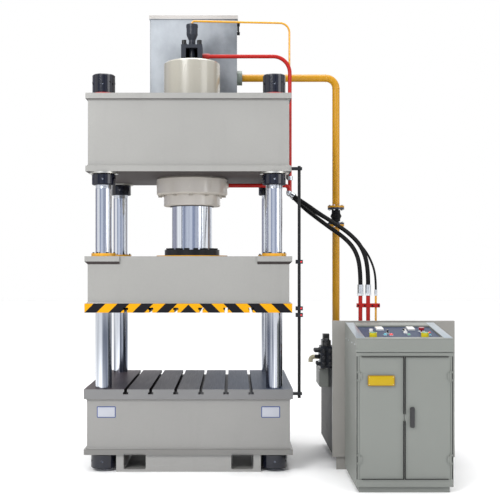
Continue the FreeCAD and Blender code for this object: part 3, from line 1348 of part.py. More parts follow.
fill_sheet()
for make in (bed, bed_table, columns, column_nuts, column_washers, top_beam, slide_beam, slide_platen,
             guides,
             slide_bolts, rod_end, cylinder, cylinder_bolts, prefill, filling_tank, return_line, small_pipes,
             hoses, pipe_clamp, position_scale, reservoir, unit_cover, motor_and_pump, valve_gear,
             unit_wiring,
             console, control_panel, panel_guards, buttons, doors, door_hinges, lock_handle, mounting_plate):
    make()
write_parts()
print(len(PIECES), "sub-parts")
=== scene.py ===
# %% [markdown]
# # A four-column hydraulic press
# The press stands on its bed: four chromed columns carry a top beam, a cylinder in the beam pushes
# a slide down onto the bed, and pipes and hoses join it to a power unit and a control console.
# The frame holds every piece at its real size and place, so this lesson only adds finishes and
# the small pieces that catch the eye: weld beads, screws, fins, gauges and hoses.

# %% Load the frame
import math
import bmesh
import bpy
import numpy as np
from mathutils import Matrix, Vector


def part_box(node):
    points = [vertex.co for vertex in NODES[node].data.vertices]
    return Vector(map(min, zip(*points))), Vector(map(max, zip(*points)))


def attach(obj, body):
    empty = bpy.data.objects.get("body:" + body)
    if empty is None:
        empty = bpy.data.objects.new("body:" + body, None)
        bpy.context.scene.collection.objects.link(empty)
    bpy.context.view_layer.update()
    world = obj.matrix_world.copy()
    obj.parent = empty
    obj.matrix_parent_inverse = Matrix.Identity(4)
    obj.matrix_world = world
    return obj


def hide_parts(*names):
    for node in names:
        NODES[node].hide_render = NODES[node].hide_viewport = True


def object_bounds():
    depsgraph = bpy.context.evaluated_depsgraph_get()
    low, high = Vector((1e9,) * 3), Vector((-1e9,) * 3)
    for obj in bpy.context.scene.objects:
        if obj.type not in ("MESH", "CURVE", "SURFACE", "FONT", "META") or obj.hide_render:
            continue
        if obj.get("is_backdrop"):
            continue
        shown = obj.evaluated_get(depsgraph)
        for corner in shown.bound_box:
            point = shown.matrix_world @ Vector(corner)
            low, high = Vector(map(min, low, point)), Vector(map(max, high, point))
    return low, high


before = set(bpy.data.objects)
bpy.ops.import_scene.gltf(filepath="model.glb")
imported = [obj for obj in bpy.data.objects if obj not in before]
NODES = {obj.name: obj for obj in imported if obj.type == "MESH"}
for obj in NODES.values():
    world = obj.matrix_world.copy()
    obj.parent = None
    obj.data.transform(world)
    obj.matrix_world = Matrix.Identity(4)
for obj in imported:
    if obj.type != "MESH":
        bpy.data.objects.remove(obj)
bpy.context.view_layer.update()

# %% [markdown]
# ## Camera
# A long lens a good seven metres away keeps the columns nearly parallel. The camera stays level,
# and a small lens shift frames the machine, so uprights stay upright as in product pictures.

# %% Camera
scene = bpy.context.scene
scene.view_settings.view_transform = "Standard"
camera_data = bpy.data.cameras.new("camera")
camera_data.lens = 65.66
camera_data.sensor_width = 36
camera_data.shift_x = 0.034
camera_data.shift_y = 0.028
camera = bpy.data.objects.new("camera", camera_data)
camera.location = (0.320, -7.136, 1.494)
camera.rotation_euler = (math.pi / 2, 0, 0)
scene.collection.objects.link(camera)
scene.camera = camera

# %% [markdown]
# ## A little language for finishes
# A finish is a graph of shader nodes. Written out node by node it is hard to read, so one class
# wraps a socket and turns Python's own + - * / into Math nodes, and one method makes any other
# node from its type, its settings and its inputs.

# %% Sockets with arithmetic
class Wire:
    """A number that flows between shader nodes."""

    def __init__(self, graph, socket):
        self.graph = graph
        self.socket = socket

    def __add__(self, other):
        return self.graph.maths("ADD", self, other)

    def __sub__(self, other):
        return self.graph.maths("SUBTRACT", self, other)

    def __rsub__(self, other):
        return self.graph.maths("SUBTRACT", other, self)

    def __mul__(self, other):
        return self.graph.maths("MULTIPLY", self, other)

    def __truediv__(self, other):
        return self.graph.maths("DIVIDE", self, other)

    __radd__ = __add__
    __rmul__ = __mul__

    def above(self, edge):
        """1 where the number is more than the edge, else 0."""
        return self.graph.maths("GREATER_THAN", self, edge)

    def below(self, edge):
        """1 where the number is less than the edge, else 0."""
        return self.graph.maths("LESS_THAN", self, edge)

    def size(self):
        """The number without its sign."""
        return self.graph.maths("ABSOLUTE", self)

    def clipped(self):
        """The number held between 0 and 1."""
        return self.graph.maths("MINIMUM", self.graph.maths("MAXIMUM", self, 0), 1)

    def fade(self, start, end):
        """A smooth step from 0 at start to 1 at end."""
        ranged = self.graph.node("ShaderNodeMapRange", {"interpolation_type": "SMOOTHSTEP"},
                                  {"Value": self, "From Min": start, "From Max": end})
        return Wire(self.graph, ranged.outputs["Result"])


# %% One tree of nodes
class Graph:
    """A tree of shader nodes that is built up from wires."""

    def __init__(self, tree):
        self.tree = tree

    def node(self, kind, settings=None, inputs=None):
        """Any node: its settings first, then its inputs, each a value, a socket or a wire."""
        made = self.tree.nodes.new(kind)
        for key, value in (settings or {}).items():
            if key == "stops":
                ramp = made.color_ramp.elements
                ramp[0].position, ramp[0].color = value[0][0], (*value[0][1], 1)
                ramp[1].position, ramp[1].color = value[-1][0], (*value[-1][1], 1)
                for stop, colour in value[1:-1]:
                    ramp.new(stop).color = (*colour, 1)
            else:
                setattr(made, key, value)
        for key, value in (inputs or {}).items():
            self.feed(made.inputs[key], value)
        return made

    def feed(self, target, value):
        """Link a wire or socket to an input, or set the input's own value."""
        if isinstance(value, Wire):
            value = value.socket
        if isinstance(value, bpy.types.NodeSocket):
            self.tree.links.new(value, target)
        elif isinstance(value, tuple) and len(value) == 3 and target.type == "RGBA":
            target.default_value = (*value, 1)
        else:
            target.default_value = value

    def maths(self, operation, first, second=0.0):
        """One Math node."""
        made = self.node("ShaderNodeMath", {"operation": operation}, {0: first, 1: second})
        return Wire(self, made.outputs[0])

    def mix(self, amount, low, high):
        """A colour between two colours."""
        made = self.node("ShaderNodeMix", {"data_type": "RGBA"}, {"Factor": amount})
        colours = [socket for socket in made.inputs if socket.type == "RGBA"]
        self.feed(colours[0], low)
        self.feed(colours[1], high)
        return next(socket for socket in made.outputs if socket.type == "RGBA")


# %% One material
class Finish(Graph):
    """A material with the object's own coordinates at hand."""

    def __init__(self, name, metallic=0.0, coat=0.0, specular=0.5):
        self.material = bpy.data.materials.new(name)
        self.material.use_nodes = True
        super().__init__(self.material.node_tree)
        self.shader = self.tree.nodes["Principled BSDF"]
        self.shader.inputs["Metallic"].default_value = metallic
        self.shader.inputs["Coat Weight"].default_value = coat
        self.shader.inputs["Coat Roughness"].default_value = 0.08
        self.shader.inputs["Specular IOR Level"].default_value = specular
        place = self.node("ShaderNodeTexCoord")
        self.place = place.outputs["Object"]
        parts = self.node("ShaderNodeSeparateXYZ", inputs={0: self.place})
        self.x, self.y, self.z = (Wire(self, parts.outputs[letter]) for letter in "XYZ")
        slope = self.node("ShaderNodeSeparateXYZ", inputs={0: place.outputs["Normal"]})
        self.down = Wire(self, slope.outputs["Z"]).below(-0.7)

    def stretched(self, across, along, up):
        """Coordinates multiplied by a factor along each axis."""
        made = self.node("ShaderNodeVectorMath", {"operation": "MULTIPLY"},
                         {0: self.place, 1: (across, along, up)})
        return made.outputs[0]

    def noise(self, scale, detail=3.0, stretch=(1, 1, 1), roughness=0.55):
        """Cloudy numbers about 0.5; scale is in patches per metre."""
        made = self.node("ShaderNodeTexNoise", None, {"Vector": self.stretched(*stretch), "Scale": scale,
                                                      "Detail": detail, "Roughness": roughness})
        return Wire(self, made.outputs["Fac"])

    def cells(self, scale, feature="F1"):
        """Distance to the nearest of many scattered points."""
        made = self.node("ShaderNodeTexVoronoi", {"feature": feature}, {"Vector": self.place, "Scale": scale})
        return Wire(self, made.outputs["Distance"])

    def bump(self, height, distance, strength=1.0):
        """Small relief: the height's unit is the distance, in metres."""
        made = self.node("ShaderNodeBump", None, {"Height": height, "Distance": distance,
                                                  "Strength": strength})
        self.feed(self.shader.inputs["Normal"], made.outputs["Normal"])

    def finish(self, colour, roughness, metallic=None):
        """Feed the shader's main inputs and hand over the material."""
        self.feed(self.shader.inputs["Base Color"], colour)
        self.feed(self.shader.inputs["Roughness"], roughness)
        if metallic is not None:
            self.feed(self.shader.inputs["Metallic"], metallic)
        return self.material


# %% [markdown]
# Chrome shows only what stands around it. A studio with nothing but white walls would turn the
# columns white, so the world is a soft gradient: bright overhead and behind the machine, with
# darker and slightly blue stretches on the other sides, which the columns mirror as upright bands.
# A ray that leaves the lens and misses everything sees plain white paper instead.

# %% World and lamps
WHITE, HAZE, LILAC = (1.0, 1.0, 1.0), (0.66, 0.70, 0.80), (0.42, 0.42, 0.50)
SHADE, BROWN, DUSK = (0.10, 0.10, 0.13), (0.16, 0.12, 0.12), (0.30, 0.34, 0.46)
WORLD_STOPS = [(0.0, WHITE), (0.14, WHITE), (0.165, BROWN), (0.195, BROWN), (0.215, WHITE), (0.345, WHITE),
               (0.375, LILAC), (0.43, HAZE), (0.455, DUSK), (0.48, DUSK), (0.50, HAZE), (0.585, HAZE),
               (0.61, DUSK), (0.635, DUSK), (0.655, WHITE), (0.75, WHITE), (0.775, LILAC), (0.86, LILAC),
               (0.885, SHADE), (0.92, SHADE), (0.94, WHITE), (1.0, WHITE)]
BANDS_END, ZENITH, WORLD_STRENGTH = 0.15, 0.75, 1.12


def build_world():
    """Brightness by compass direction: a ramp over the angle about Z, whitened towards the zenith."""
    world = bpy.data.worlds.new("studio")
    scene.world = world
    world.use_nodes = True
    sky = Graph(world.node_tree)
    place = sky.node("ShaderNodeTexCoord")
    parts = sky.node("ShaderNodeSeparateXYZ", inputs={0: place.outputs["Generated"]})
    across, ahead, up = (Wire(sky, parts.outputs[letter]) for letter in "XYZ")
    turn = sky.maths("FRACT", sky.maths("ARCTAN2", across, ahead) / (2 * math.pi) + 1)
    bands = sky.node("ShaderNodeValToRGB", {"stops": WORLD_STOPS}, {"Fac": turn})
    colour = sky.mix(((up - BANDS_END) / (ZENITH - BANDS_END)).clipped(), bands.outputs["Color"], WHITE)
    sky.feed(sky.tree.nodes["Background"].inputs["Strength"], WORLD_STRENGTH)
    sky.feed(sky.tree.nodes["Background"].inputs["Color"], colour)
    paper = sky.node("ShaderNodeBackground", inputs={"Color": WHITE})
    rays = sky.node("ShaderNodeLightPath")
    choice = sky.node("ShaderNodeMixShader", inputs={
        "Fac": rays.outputs["Is Camera Ray"], 1: sky.tree.nodes["Background"].outputs[0],
        2: paper.outputs[0]})
    sky.feed(sky.tree.nodes["World Output"].inputs["Surface"], choice.outputs[0])


def add_lamp(name, place, aim, size, power):
    """A square area lamp at a place, turned to its aim."""
    data = bpy.data.lights.new(name, "AREA")
    data.shape = "SQUARE"
    data.size = size
    data.energy = power
    lamp = bpy.data.objects.new(name, data)
    lamp.location = place
    lamp.rotation_euler = (Vector(aim) - Vector(place)).to_track_quat("-Z", "Y").to_euler()
    scene.collection.objects.link(lamp)


build_world()
add_lamp("key_lamp", (-3.5, -6.8, 6.2), (0.2, 0, 1.6), 3.0, 470)
add_lamp("fill_lamp", (6.5, -5.0, 3.5), (0.6, 0, 1.2), 3.5, 100)
add_lamp("top_lamp", (0.4, 0.5, 8.0), (0.4, 0, 1.0), 4.5, 260)

FINISHES = {}


def wear(node, name):
    """Give a CAD node its finish."""
    slots = NODES[node].material_slots
    for slot in slots:
        slot.material = FINISHES[name]
    if not slots:
        NODES[node].data.materials.append(FINISHES[name])

# %% [markdown]
# ## Sprayed enamel
# Most of the machine is steel plate under machine enamel. Real enamel is never one colour: it has
# faint clouds of tone, fine specks, rubbed streaks and the small waves of orange peel, which a
# bump of a quarter millimetre gives. One function makes every paint from its colour and gloss.

# %% Enamels
def tint(code):
    """A colour written as on a paint card (six hexadecimal digits) in linear light."""
    channels = [int(code[place:place + 2], 16) / 255 for place in (0, 2, 4)]
    return tuple(c / 12.92 if c <= 0.04045 else ((c + 0.055) / 1.055) ** 2.4 for c in channels)


def scaled(colour, factor):
    """A colour made darker or lighter."""
    return tuple(min(channel * factor, 1.0) for channel in colour)


def enamel(name, code, roughness=0.36, coat=0.3, grime=0.12, specular=0.5, zones=()):
    """Paint with clouds of tone, specks, upright rubbed streaks and orange peel.

    Each zone is a mask, as a function of the finish, and the colour of the paint inside it.
    """
    paint = Finish(name, 0.0, coat, specular)
    base = tint(code)
    clouds = paint.noise(1.1, 5)
    specks = paint.noise(70, 2)
    streaks = paint.noise(7, 5, (1, 1, 0.12)).fade(0.50, 0.80)
    tone = ((clouds - 0.5) * 1.3 + (specks - 0.5) * 0.35 - streaks * 0.35 + 0.5).clipped()
    colour = paint.mix(tone, scaled(base, 1 - grime), scaled(base, 1 + grime * 0.6))
    for mask, other in zones:
        second = paint.mix(tone, scaled(tint(other), 1 - grime), scaled(tint(other), 1 + grime * 0.6))
        colour = paint.mix(mask(paint), colour, second)
    scuffs = paint.noise(16, 7, (1, 1, 1), 0.7).fade(0.60, 0.78)
    paint.bump(paint.noise(420, 2) + scuffs * 0.3, 0.00025, 0.7)
    dull = paint.down * 0.45
    paint.feed(paint.shader.inputs["Coat Weight"], (1 - paint.down) * coat)
    FINISHES[name] = paint.finish(colour, (clouds - 0.5) * 0.16 + scuffs * 0.14 + dull + roughness)


# Painted shade on the machine grey: light falls from above, so the bed below the table is painted darker, the
# foot plate darker still and the skirt a little darker. Every downward face takes a dark primer brown that
# also paints the shade beneath the beams.
enamel("machine_grey", "8f8e8a", 0.34, 0.3, 0.10,
       zones=[(lambda paint: paint.z.below(0.60), "848380"), (lambda paint: paint.z.below(0.167), "6d6c69"),
              (lambda paint: paint.z.below(0.124), "8a8986"),
              (lambda paint: paint.down, "352e2d")])
# Painted light: below 2.17 m the flange and gland are painted lighter than the barrel above, as if better
# lit.
enamel("cylinder_cream", "a09c90", 0.22, 0.6, 0.08, zones=[(lambda paint: paint.z.below(2.17), "c8c2b9")])
enamel("flange_screws", "101113", 0.40, 0.1, 0.3, 0.25, [(lambda paint: paint.z.below(2.3), "a8a297")])
enamel("nut_navy", "0b0e1c", 0.16, 0.45, 0.35, 0.3)
enamel("valve_black", "15171b", 0.40, 0.12, 0.25, 0.25)
enamel("valve_slate", "22262f", 0.46, 0.10, 0.25, 0.25)
enamel("screw_black", "0f1012", 0.42, 0.0, 0.3, 0.25)
enamel("ochre", "b78305", 0.34, 0.2, 0.12, 0.3)
enamel("signal_red", "a8140a", 0.38, 0.12, 0.15, 0.25)
enamel("signal_yellow", "cf9405", 0.28, 0.5, 0.10)
enamel("joint_navy", "1c2436", 0.30, 0.35, 0.2, 0.3, [(lambda paint: paint.x.below(0.6), "717b72")])
enamel("unit_dark", "2a2c2e", 0.50, 0.0, 0.16, 0.2)
enamel("motor_blue", "2e4450", 0.40, 0.2, 0.18)
enamel("duct_cream", "cfc6a6", 0.46, 0.1, 0.12)
enamel("plate_silver", "a6a8b0", 0.30, 0.3, 0.06)
enamel("border_blue", "1d3a78", 0.30, 0.4, 0.10)
enamel("dial_white", "eceae2", 0.25, 0.6, 0.03)
enamel("plate_yellow", "a88c04", 0.34, 0.1, 0.08, 0.25)
enamel("rim_amber", "8a6a08", 0.36, 0.1, 0.1, 0.25)


# %% Zinc-grey sheet of the filling tank
def tank_finish():
    """Broad pale and dark patches, and painted light and shade that make the walls pale at the left and
    darker to the right; the lid is warmer.
    """
    sheet = Finish("tank_silver", 0.15, 0.15)
    patches = sheet.noise(2.4, 6, (1, 1, 0.7), 0.62).fade(0.36, 0.66)
    # Painted light and shade: the walls are painted pale at the left and dark at the right.
    painted_light_fall = sheet.x.fade(-0.42, 0.46)
    tone = (patches * 0.5 + (1 - painted_light_fall) * 0.75 - 0.12).clipped()
    walls = sheet.mix(tone, tint("6c7176"), tint("a4a9ae"))
    lid = sheet.mix(patches, tint("a39f9a"), tint("b4b0ab"))
    sheet.bump(sheet.noise(300, 2) + patches * 0.4, 0.0003, 0.6)
    FINISHES["tank_silver"] = sheet.finish(sheet.mix(sheet.z.above(3.482), walls, lid), patches * 0.12 + 0.34)


tank_finish()


# %% [markdown]
# ## Powder coat on the cabinets
# Sheet-metal cabinets are powder coated. The powder melts into a fine leather grain, so the gloss
# is broken up evenly. Small cells under a soft noise give that grain.

# %% Powder coat
def powder_coat(name, code, roughness=0.42, grime=0.08, specular=0.4):
    """Cabinet coating: a fine leather grain, darker and rougher towards the floor."""
    coating = Finish(name, 0.0, 0.05, specular)
    base = tint(code)
    clouds = coating.noise(1.6, 4)
    grain = coating.cells(420)
    floor_fade = 1 - coating.z.fade(0.0, 0.45)
    tone = ((clouds - 0.5) * 1.2 - floor_fade * 0.35 + grain * 0.2 + 0.5).clipped()
    colour = coating.mix(tone, scaled(base, 1 - grime), scaled(base, 1 + grime * 0.6))
    coating.bump(grain + coating.noise(900, 1) * 0.5, 0.0003, 0.55)
    FINISHES[name] = coating.finish(colour, (clouds - 0.5) * 0.12 + floor_fade * 0.12 + roughness)


powder_coat("cabinet_grey", "757873")
powder_coat("cover_grey", "878580")
powder_coat("panel_blue", "3a4358", 0.50, 0.10, 0.08)


# %% Collars and meter housings
def guard_finish():
    """Lemon yellow on the palm buttons' collars at the front, white on the meters behind them."""
    moulded = Finish("guard_yellow", 0.0, 0.4)
    flow = moulded.noise(24, 3)
    meters = moulded.y.above(-0.95)
    collar = moulded.mix(flow, tint("c4b208"), tint("d2c414"))
    housing = moulded.mix(flow, tint("c9c9c6"), tint("d8d8d4"))
    moulded.bump(moulded.noise(900, 1), 0.0001, 0.5)
    FINISHES["guard_yellow"] = moulded.finish(moulded.mix(meters, collar, housing), (flow - 0.5) * 0.1 + 0.3)


guard_finish()


# %% [markdown]
# ## Bare metals
# Hard chrome is ground round and round, so its finest marks are rings; milled steel keeps the
# cutter's straight passes; bronze and zinc are softer. Each is a metal whose roughness varies.

# %% Chrome, zinc, steel and bronze
def ground_metal(name, code, roughness, stretch, marks=900, depth=0.00003):
    """Metal with fine parallel marks; the stretch squeezes the noise across them."""
    metal = Finish(name, 1.0)
    base = tint(code)
    lines = metal.noise(marks, 2, stretch)
    smears = metal.noise(5, 4, (1, 1, 0.5))
    colour = metal.mix(smears, scaled(base, 0.88), scaled(base, 1.04))
    metal.bump(lines, depth, 0.5)
    FINISHES[name] = metal.finish(colour, (lines - 0.5) * 0.10 + (smears - 0.5) * 0.10 + roughness)


ground_metal("zinc", "c8ccd0", 0.30, (1, 1, 0.1), 500)
ground_metal("plain_steel", "bdbcb6", 0.36, (1, 0.05, 1), 600)
ground_metal("bronze", "b58a4a", 0.32, (0.05, 0.05, 1))
ground_metal("dark_iron", "5b5d60", 0.5, (1, 1, 1), 160, 0.0004)


# %% Hard chrome with oil runs and painted reflection bands
def chrome_finish():
    """Rings from grinding; upright dark bands, partly oil runs and partly painted reflections of the
    surroundings, darken the metal, most of all low down.
    """
    chrome = Finish("hard_chrome", 1.0)
    rings = chrome.noise(900, 2, (0.02, 0.02, 1))
    # Painted reflection and oil runs: upright bands that darken the chrome's colour.
    runs = chrome.noise(30, 3, (1, 1, 0.012)).fade(0.40, 0.60)
    low = 1 - chrome.z.fade(0.95, 1.35) * 0.75
    colour = chrome.mix((1 - runs) * low * 0.9, tint("d5d9e0"), tint("4c5466"))
    chrome.bump(rings, 0.00003, 0.5)
    FINISHES["hard_chrome"] = chrome.finish(colour, (rings - 0.5) * 0.10 + (1 - runs) * 0.06 + 0.10)


chrome_finish()


# %% Zinc nipples and the painted port
def fitting_finish():
    """Zinc on the hose nipples; the port high on the filling valve is painted with its pipe."""
    metal = Finish("zinc_and_red", 1.0)
    painted = metal.z.above(2.9)
    smears = metal.noise(5, 4, (1, 1, 0.5))
    bright = metal.mix(smears, tint("b4b8bc"), tint("cbcfd3"))
    metal.bump(metal.noise(500, 2, (1, 1, 0.1)), 0.00003, 0.5)
    colour = metal.mix(painted, bright, tint("a8140a"))
    FINISHES["zinc_and_red"] = metal.finish(colour, (smears - 0.5) * 0.1 + 0.3, 1 - painted)


fitting_finish()

# %% [markdown]
# ## The slotted plates
# The table and the platen are milled on their working face and painted on their edges. One function makes
# both: a mask that knows the face's height chooses between steel and paint. The milled faces carry a painted
# reflection of their surroundings as brown, blue and pale zones, the way oiled steel shows them, and painted
# shade darkens their slots. The platen's front edge carries slanting warning stripes that mirror about a
# black triangle.

# %% Milled faces with painted edges
PLATEN_LOW, PLATEN_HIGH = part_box("slide_platen")
TABLE_LOW, TABLE_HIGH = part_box("bed_table")
STRIPE_PERIOD = 0.1716
STRIPE_APEX = 0.0585


def stripes(paint):
    """Yellow and black bands: the distance from the middle plus the height, cut into periods."""
    run = paint.x.size() + (paint.z - PLATEN_LOW.z) - STRIPE_APEX
    phase = paint.maths("FRACT", run / STRIPE_PERIOD)
    yellow = phase.below(0.5) * run.above(0)
    worn = paint.noise(40, 6, (1, 1, 1), 0.7).fade(0.66, 0.74)
    bands = paint.mix(yellow, tint("131216"), tint("cf9304"))
    return paint.mix(worn * 0.35, bands, tint("8d8874"))


def slotted_finish(name, face_height, inward, striped):
    """Steel near the working face and in its slots, paint on the edges, stripes on the front."""
    plate = Finish(name, 0.0, 0.05)
    plate.shader.inputs["Specular IOR Level"].default_value = 0.3
    plate.shader.inputs["Specular Tint"].default_value = (0.4, 0.4, 0.42, 1)
    low, high = (PLATEN_LOW, PLATEN_HIGH) if striped else (TABLE_LOW, TABLE_HIGH)
    front_edge = plate.y.below(low.y + 0.0006)
    rear_edge = plate.y.above(high.y - 0.0006)
    side_edge = plate.x.size().above(high.x - 0.0006)
    edge = plate.maths("MAXIMUM", plate.maths("MAXIMUM", front_edge, rear_edge), side_edge)
    machined = (plate.z - face_height).size().below(0.0375) * (1 - edge)
    depth = ((plate.z - face_height) * inward).clipped()
    passes = plate.noise(220, 3, (1, 0.02, 0.3))
    broad = plate.noise(2.2, 5, (1, 0.35, 1))
    across = (plate.x * 0.62 + 0.5 + (broad - 0.5) * 0.5).clipped()
    # Painted reflection: brown, blue and pale zones across the width stand for the surroundings mirrored in
    # the oiled steel.
    painted_reflection_ramp = plate.node("ShaderNodeValToRGB", {"stops": [
        (0.0, tint("4c3a36")), (0.22, tint("40343a")), (0.42, tint("2a2c36")),
        (0.62, tint("3c4456")), (0.82, tint("566274")), (1.0, tint("6e737a"))]}, {"Fac": across})
    steel = plate.mix(passes * 0.3, painted_reflection_ramp.outputs["Color"], tint("6a6d76"))
    # Painted shade: inside the slots, below the working face, the steel is darkened.
    steel = plate.mix(depth.above(0.002) * 0.65, steel, tint("2c2926"))
    paint_colour = plate.mix(broad, tint("6f6f70"), tint("7d7d7c"))
    if striped:
        paint_colour = plate.mix(front_edge, paint_colour, stripes(plate))
    colour = plate.mix(machined, paint_colour, steel)
    plate.bump(passes * machined + plate.noise(420, 2) * 0.6, 0.00018, 0.6)
    rough = machined * ((passes - 0.5) * 0.25 + (broad - 0.5) * 0.25 + 0.10) + 0.36
    FINISHES[name] = plate.finish(colour, rough, machined * 0.55)


slotted_finish("table_milled", TABLE_HIGH.z, -1, False)
slotted_finish("platen_milled", PLATEN_LOW.z, 1, True)


# %% [markdown]
# ## Rubber, plastic and glass
# Rubber scatters light softly and gathers dust. Moulded buttons are smooth and a little deeper in
# colour at their rims.

# %% Rubber and plastics
def rubber(name, code="0c0c0d", roughness=0.62):
    """Black rubber with bloom and a cloth-marked skin."""
    skin = Finish(name, 0.0, 0.0, 0.12)
    bloom = skin.noise(9, 5)
    weave = skin.noise(900, 2)
    colour = skin.mix(bloom, tint(code), scaled(tint(code), 1.8))
    skin.bump(weave, 0.0004, 0.6)
    FINISHES[name] = skin.finish(colour, (bloom - 0.5) * 0.2 + roughness)


def plastic(name, code, roughness=0.22):
    """Moulded plastic with faint flow clouds and fine scratches."""
    moulded = Finish(name, 0.0, 0.35)
    flow = moulded.noise(30, 3)
    scratches = moulded.noise(160, 4, (1, 0.1, 1)).fade(0.62, 0.75)
    colour = moulded.mix(flow, scaled(tint(code), 0.86), scaled(tint(code), 1.08))
    moulded.bump(moulded.noise(1200, 1), 0.00006, 0.5)
    FINISHES[name] = moulded.finish(colour, (flow - 0.5) * 0.1 + scratches * 0.12 + roughness)


rubber("hose_rubber")
rubber("bellows_rubber", "0d0d0e", 0.5)
plastic("palm_green", "12803a")
plastic("stop_red", "8e1020")
plastic("lamp_red", "d8303a", 0.15)
plastic("lamp_green", "5f9a86", 0.15)
plastic("lamp_teal", "4ea3b5", 0.15)
plastic("cap_white", "ecebe6")
plastic("cap_black", "121214", 0.3)
plastic("matt_black", "0f0f11", 0.5)
plastic("oil_glass", "c99a2a", 0.08)
print(len(FINISHES), "finishes")

# %% [markdown]
# ## Dressing the frame
# Each piece that came with the frame now takes its finish. The table reads like a parts list.

# %% Finish of every frame piece
DRESS = {
    "machine_grey": ("bed", "top_beam", "slide_beam"),
    "table_milled": ("bed_table",),
    "platen_milled": ("slide_platen",),
    "hard_chrome": ("columns", "piston_rod"),
    "nut_navy": ("column_nuts", "cylinder_nut"),
    "plain_steel": ("column_washers", "shaft_coupling", "mounting_plate"),
    "bronze": ("guide_bushes",),
    "signal_yellow": ("wiper_covers", "rod_seat_plate", "pilot_pipes"),
    "guard_yellow": ("panel_guards",),
    "screw_black": ("slide_bolts", "position_rod"),
    "flange_screws": ("cylinder_bolts",),
    "valve_black": ("rod_flange", "rod_clamps"),
    "valve_slate": ("prefill_valve", "prefill_bonnet", "suction_pipe", "valve_manifold"),
    "cylinder_cream": ("cylinder_barrel", "cylinder_gland"),
    "tank_silver": ("filling_tank", "filling_tank_lid"),
    "ochre": ("return_pipes",),
    "bellows_rubber": ("expansion_bellows",),
    "joint_navy": ("pipe_flanges",),
    "signal_red": ("pressure_pipes", "pipe_clamp"),
    "zinc_and_red": ("hose_fittings",),
    "unit_dark": ("reservoir",),
    "cover_grey": ("unit_cover",),
    "cabinet_grey": ("junction_box", "console_cabinet", "door_left", "door_right", "door_hinges"),
    "motor_blue": ("pump_motor",),
    "dark_iron": ("bellhousing", "pump"),
    "matt_black": ("solenoid_valves", "lock_handle"),
    "duct_cream": ("cable_ducts",),
    "panel_blue": ("control_panel",),
    "palm_green": ("palm_button_left", "palm_button_right"),
    "stop_red": ("stop_button",),
    "cap_white": ("reset_button", "selector_right"),
    "cap_black": ("start_button", "selector_left"),
}
for finish_name, node_names in DRESS.items():
    for node_name in node_names:
        wear(node_name, finish_name)


# %% [markdown]
# ## The floor
# The machine stands on a plain pale floor that runs out of sight. It is marked as stage, because
# it isn't part of the object.

# %% Floor
def build_floor():
    """A wide square of pale, slightly clouded screed."""
    screed = Finish("floor_screed")
    clouds = screed.noise(0.8, 4)
    colour = screed.mix(clouds, (0.93, 0.93, 0.93), (0.97, 0.97, 0.97))
    screed.finish(colour, clouds * 0.1 + 0.55)
    reach = 30.0
    mesh = bpy.data.meshes.new("floor")
    mesh.from_pydata([(-reach, -reach, 0), (reach, -reach, 0), (reach, reach, 0), (-reach, reach, 0)],
                     [], [(0, 1, 2, 3)])
    mesh.materials.append(screed.material)
    floor = bpy.data.objects.new("floor", mesh)
    scene.collection.objects.link(floor)
    floor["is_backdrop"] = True


build_floor()

# %% [markdown]
# ## The three hoses
# Two pressure hoses and a thin pilot hose bow from the pipe ends at the press to the risers at the
# power unit. A hose is stiff and heavy, so it leaves its fitting straight and then lies in one long
# bend. A NURBS curve of order three is exactly that line: its control points are the route's
# points, and a round bevel gives the tube.

# %% Hoses
HOSE_ROUTES = {
    "hose_pressure_a": (0.032, [
        (0.799, -0.013, 2.008), (0.868, -0.058, 1.930), (0.963, -0.118, 1.850), (1.062, -0.192, 1.768),
        (1.163, -0.270, 1.690), (1.233, -0.340, 1.598), (1.263, -0.386, 1.470), (1.263, -0.386, 1.341)]),
    "hose_pressure_b": (0.032, [
        (0.796, -0.078, 2.015), (0.878, -0.113, 1.958), (0.972, -0.162, 1.884), (1.084, -0.226, 1.806),
        (1.196, -0.295, 1.722), (1.280, -0.350, 1.622), (1.320, -0.386, 1.478), (1.320, -0.386, 1.341)]),
    "hose_pilot": (0.016, [
        (0.796, 0.044, 2.022), (0.860, 0.010, 1.960), (0.950, -0.038, 1.897), (1.052, -0.093, 1.832),
        (1.150, -0.150, 1.765), (1.236, -0.215, 1.690), (1.312, -0.290, 1.602), (1.358, -0.352, 1.497),
        (1.377, -0.386, 1.395), (1.377, -0.386, 1.304)]),
}


def centreline(piece):
    """The points of a curve's own line, read from a copy that has no bevel."""
    bare = piece.copy()
    bare.data = piece.data.copy()
    bare.data.bevel_depth = 0
    mesh = bpy.data.meshes.new_from_object(bare)
    points = np.empty(len(mesh.vertices) * 3)
    mesh.vertices.foreach_get("co", points)
    bpy.data.objects.remove(bare)
    bpy.data.meshes.remove(mesh)
    return points.reshape(-1, 3)


def lay_hose(name, diameter, route):
    """One smooth hose along its route."""
    curve = bpy.data.curves.new(name + "_line", "CURVE")
    curve.dimensions = "3D"
    curve.resolution_u = 12
    curve.bevel_depth = diameter / 2
    curve.bevel_resolution = 8
    spline = curve.splines.new("NURBS")
    spline.points.add(len(route) - 1)
    for point, place in zip(spline.points, route):
        point.co = (*place, 1)
    spline.order_u = 3
    spline.use_endpoint_u = True
    curve.materials.append(FINISHES["hose_rubber"])
    hose = bpy.data.objects.new(name + "_rubber", curve)
    scene.collection.objects.link(hose)
    line = centreline(hose)
    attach(hose, "press")
    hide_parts(name)


for name, (diameter, route) in HOSE_ROUTES.items():
    lay_hose(name, diameter, route)


# %% [markdown]
# ## Tools for small pieces
# Every new piece is a surface worked out with whole arrays: rows of points, each row a ring. A
# turned piece moves a profile round an axis, a swept piece carries a circle along a path, and a
# plate stacks rounded outlines. One function joins the rings with faces and makes the mesh.

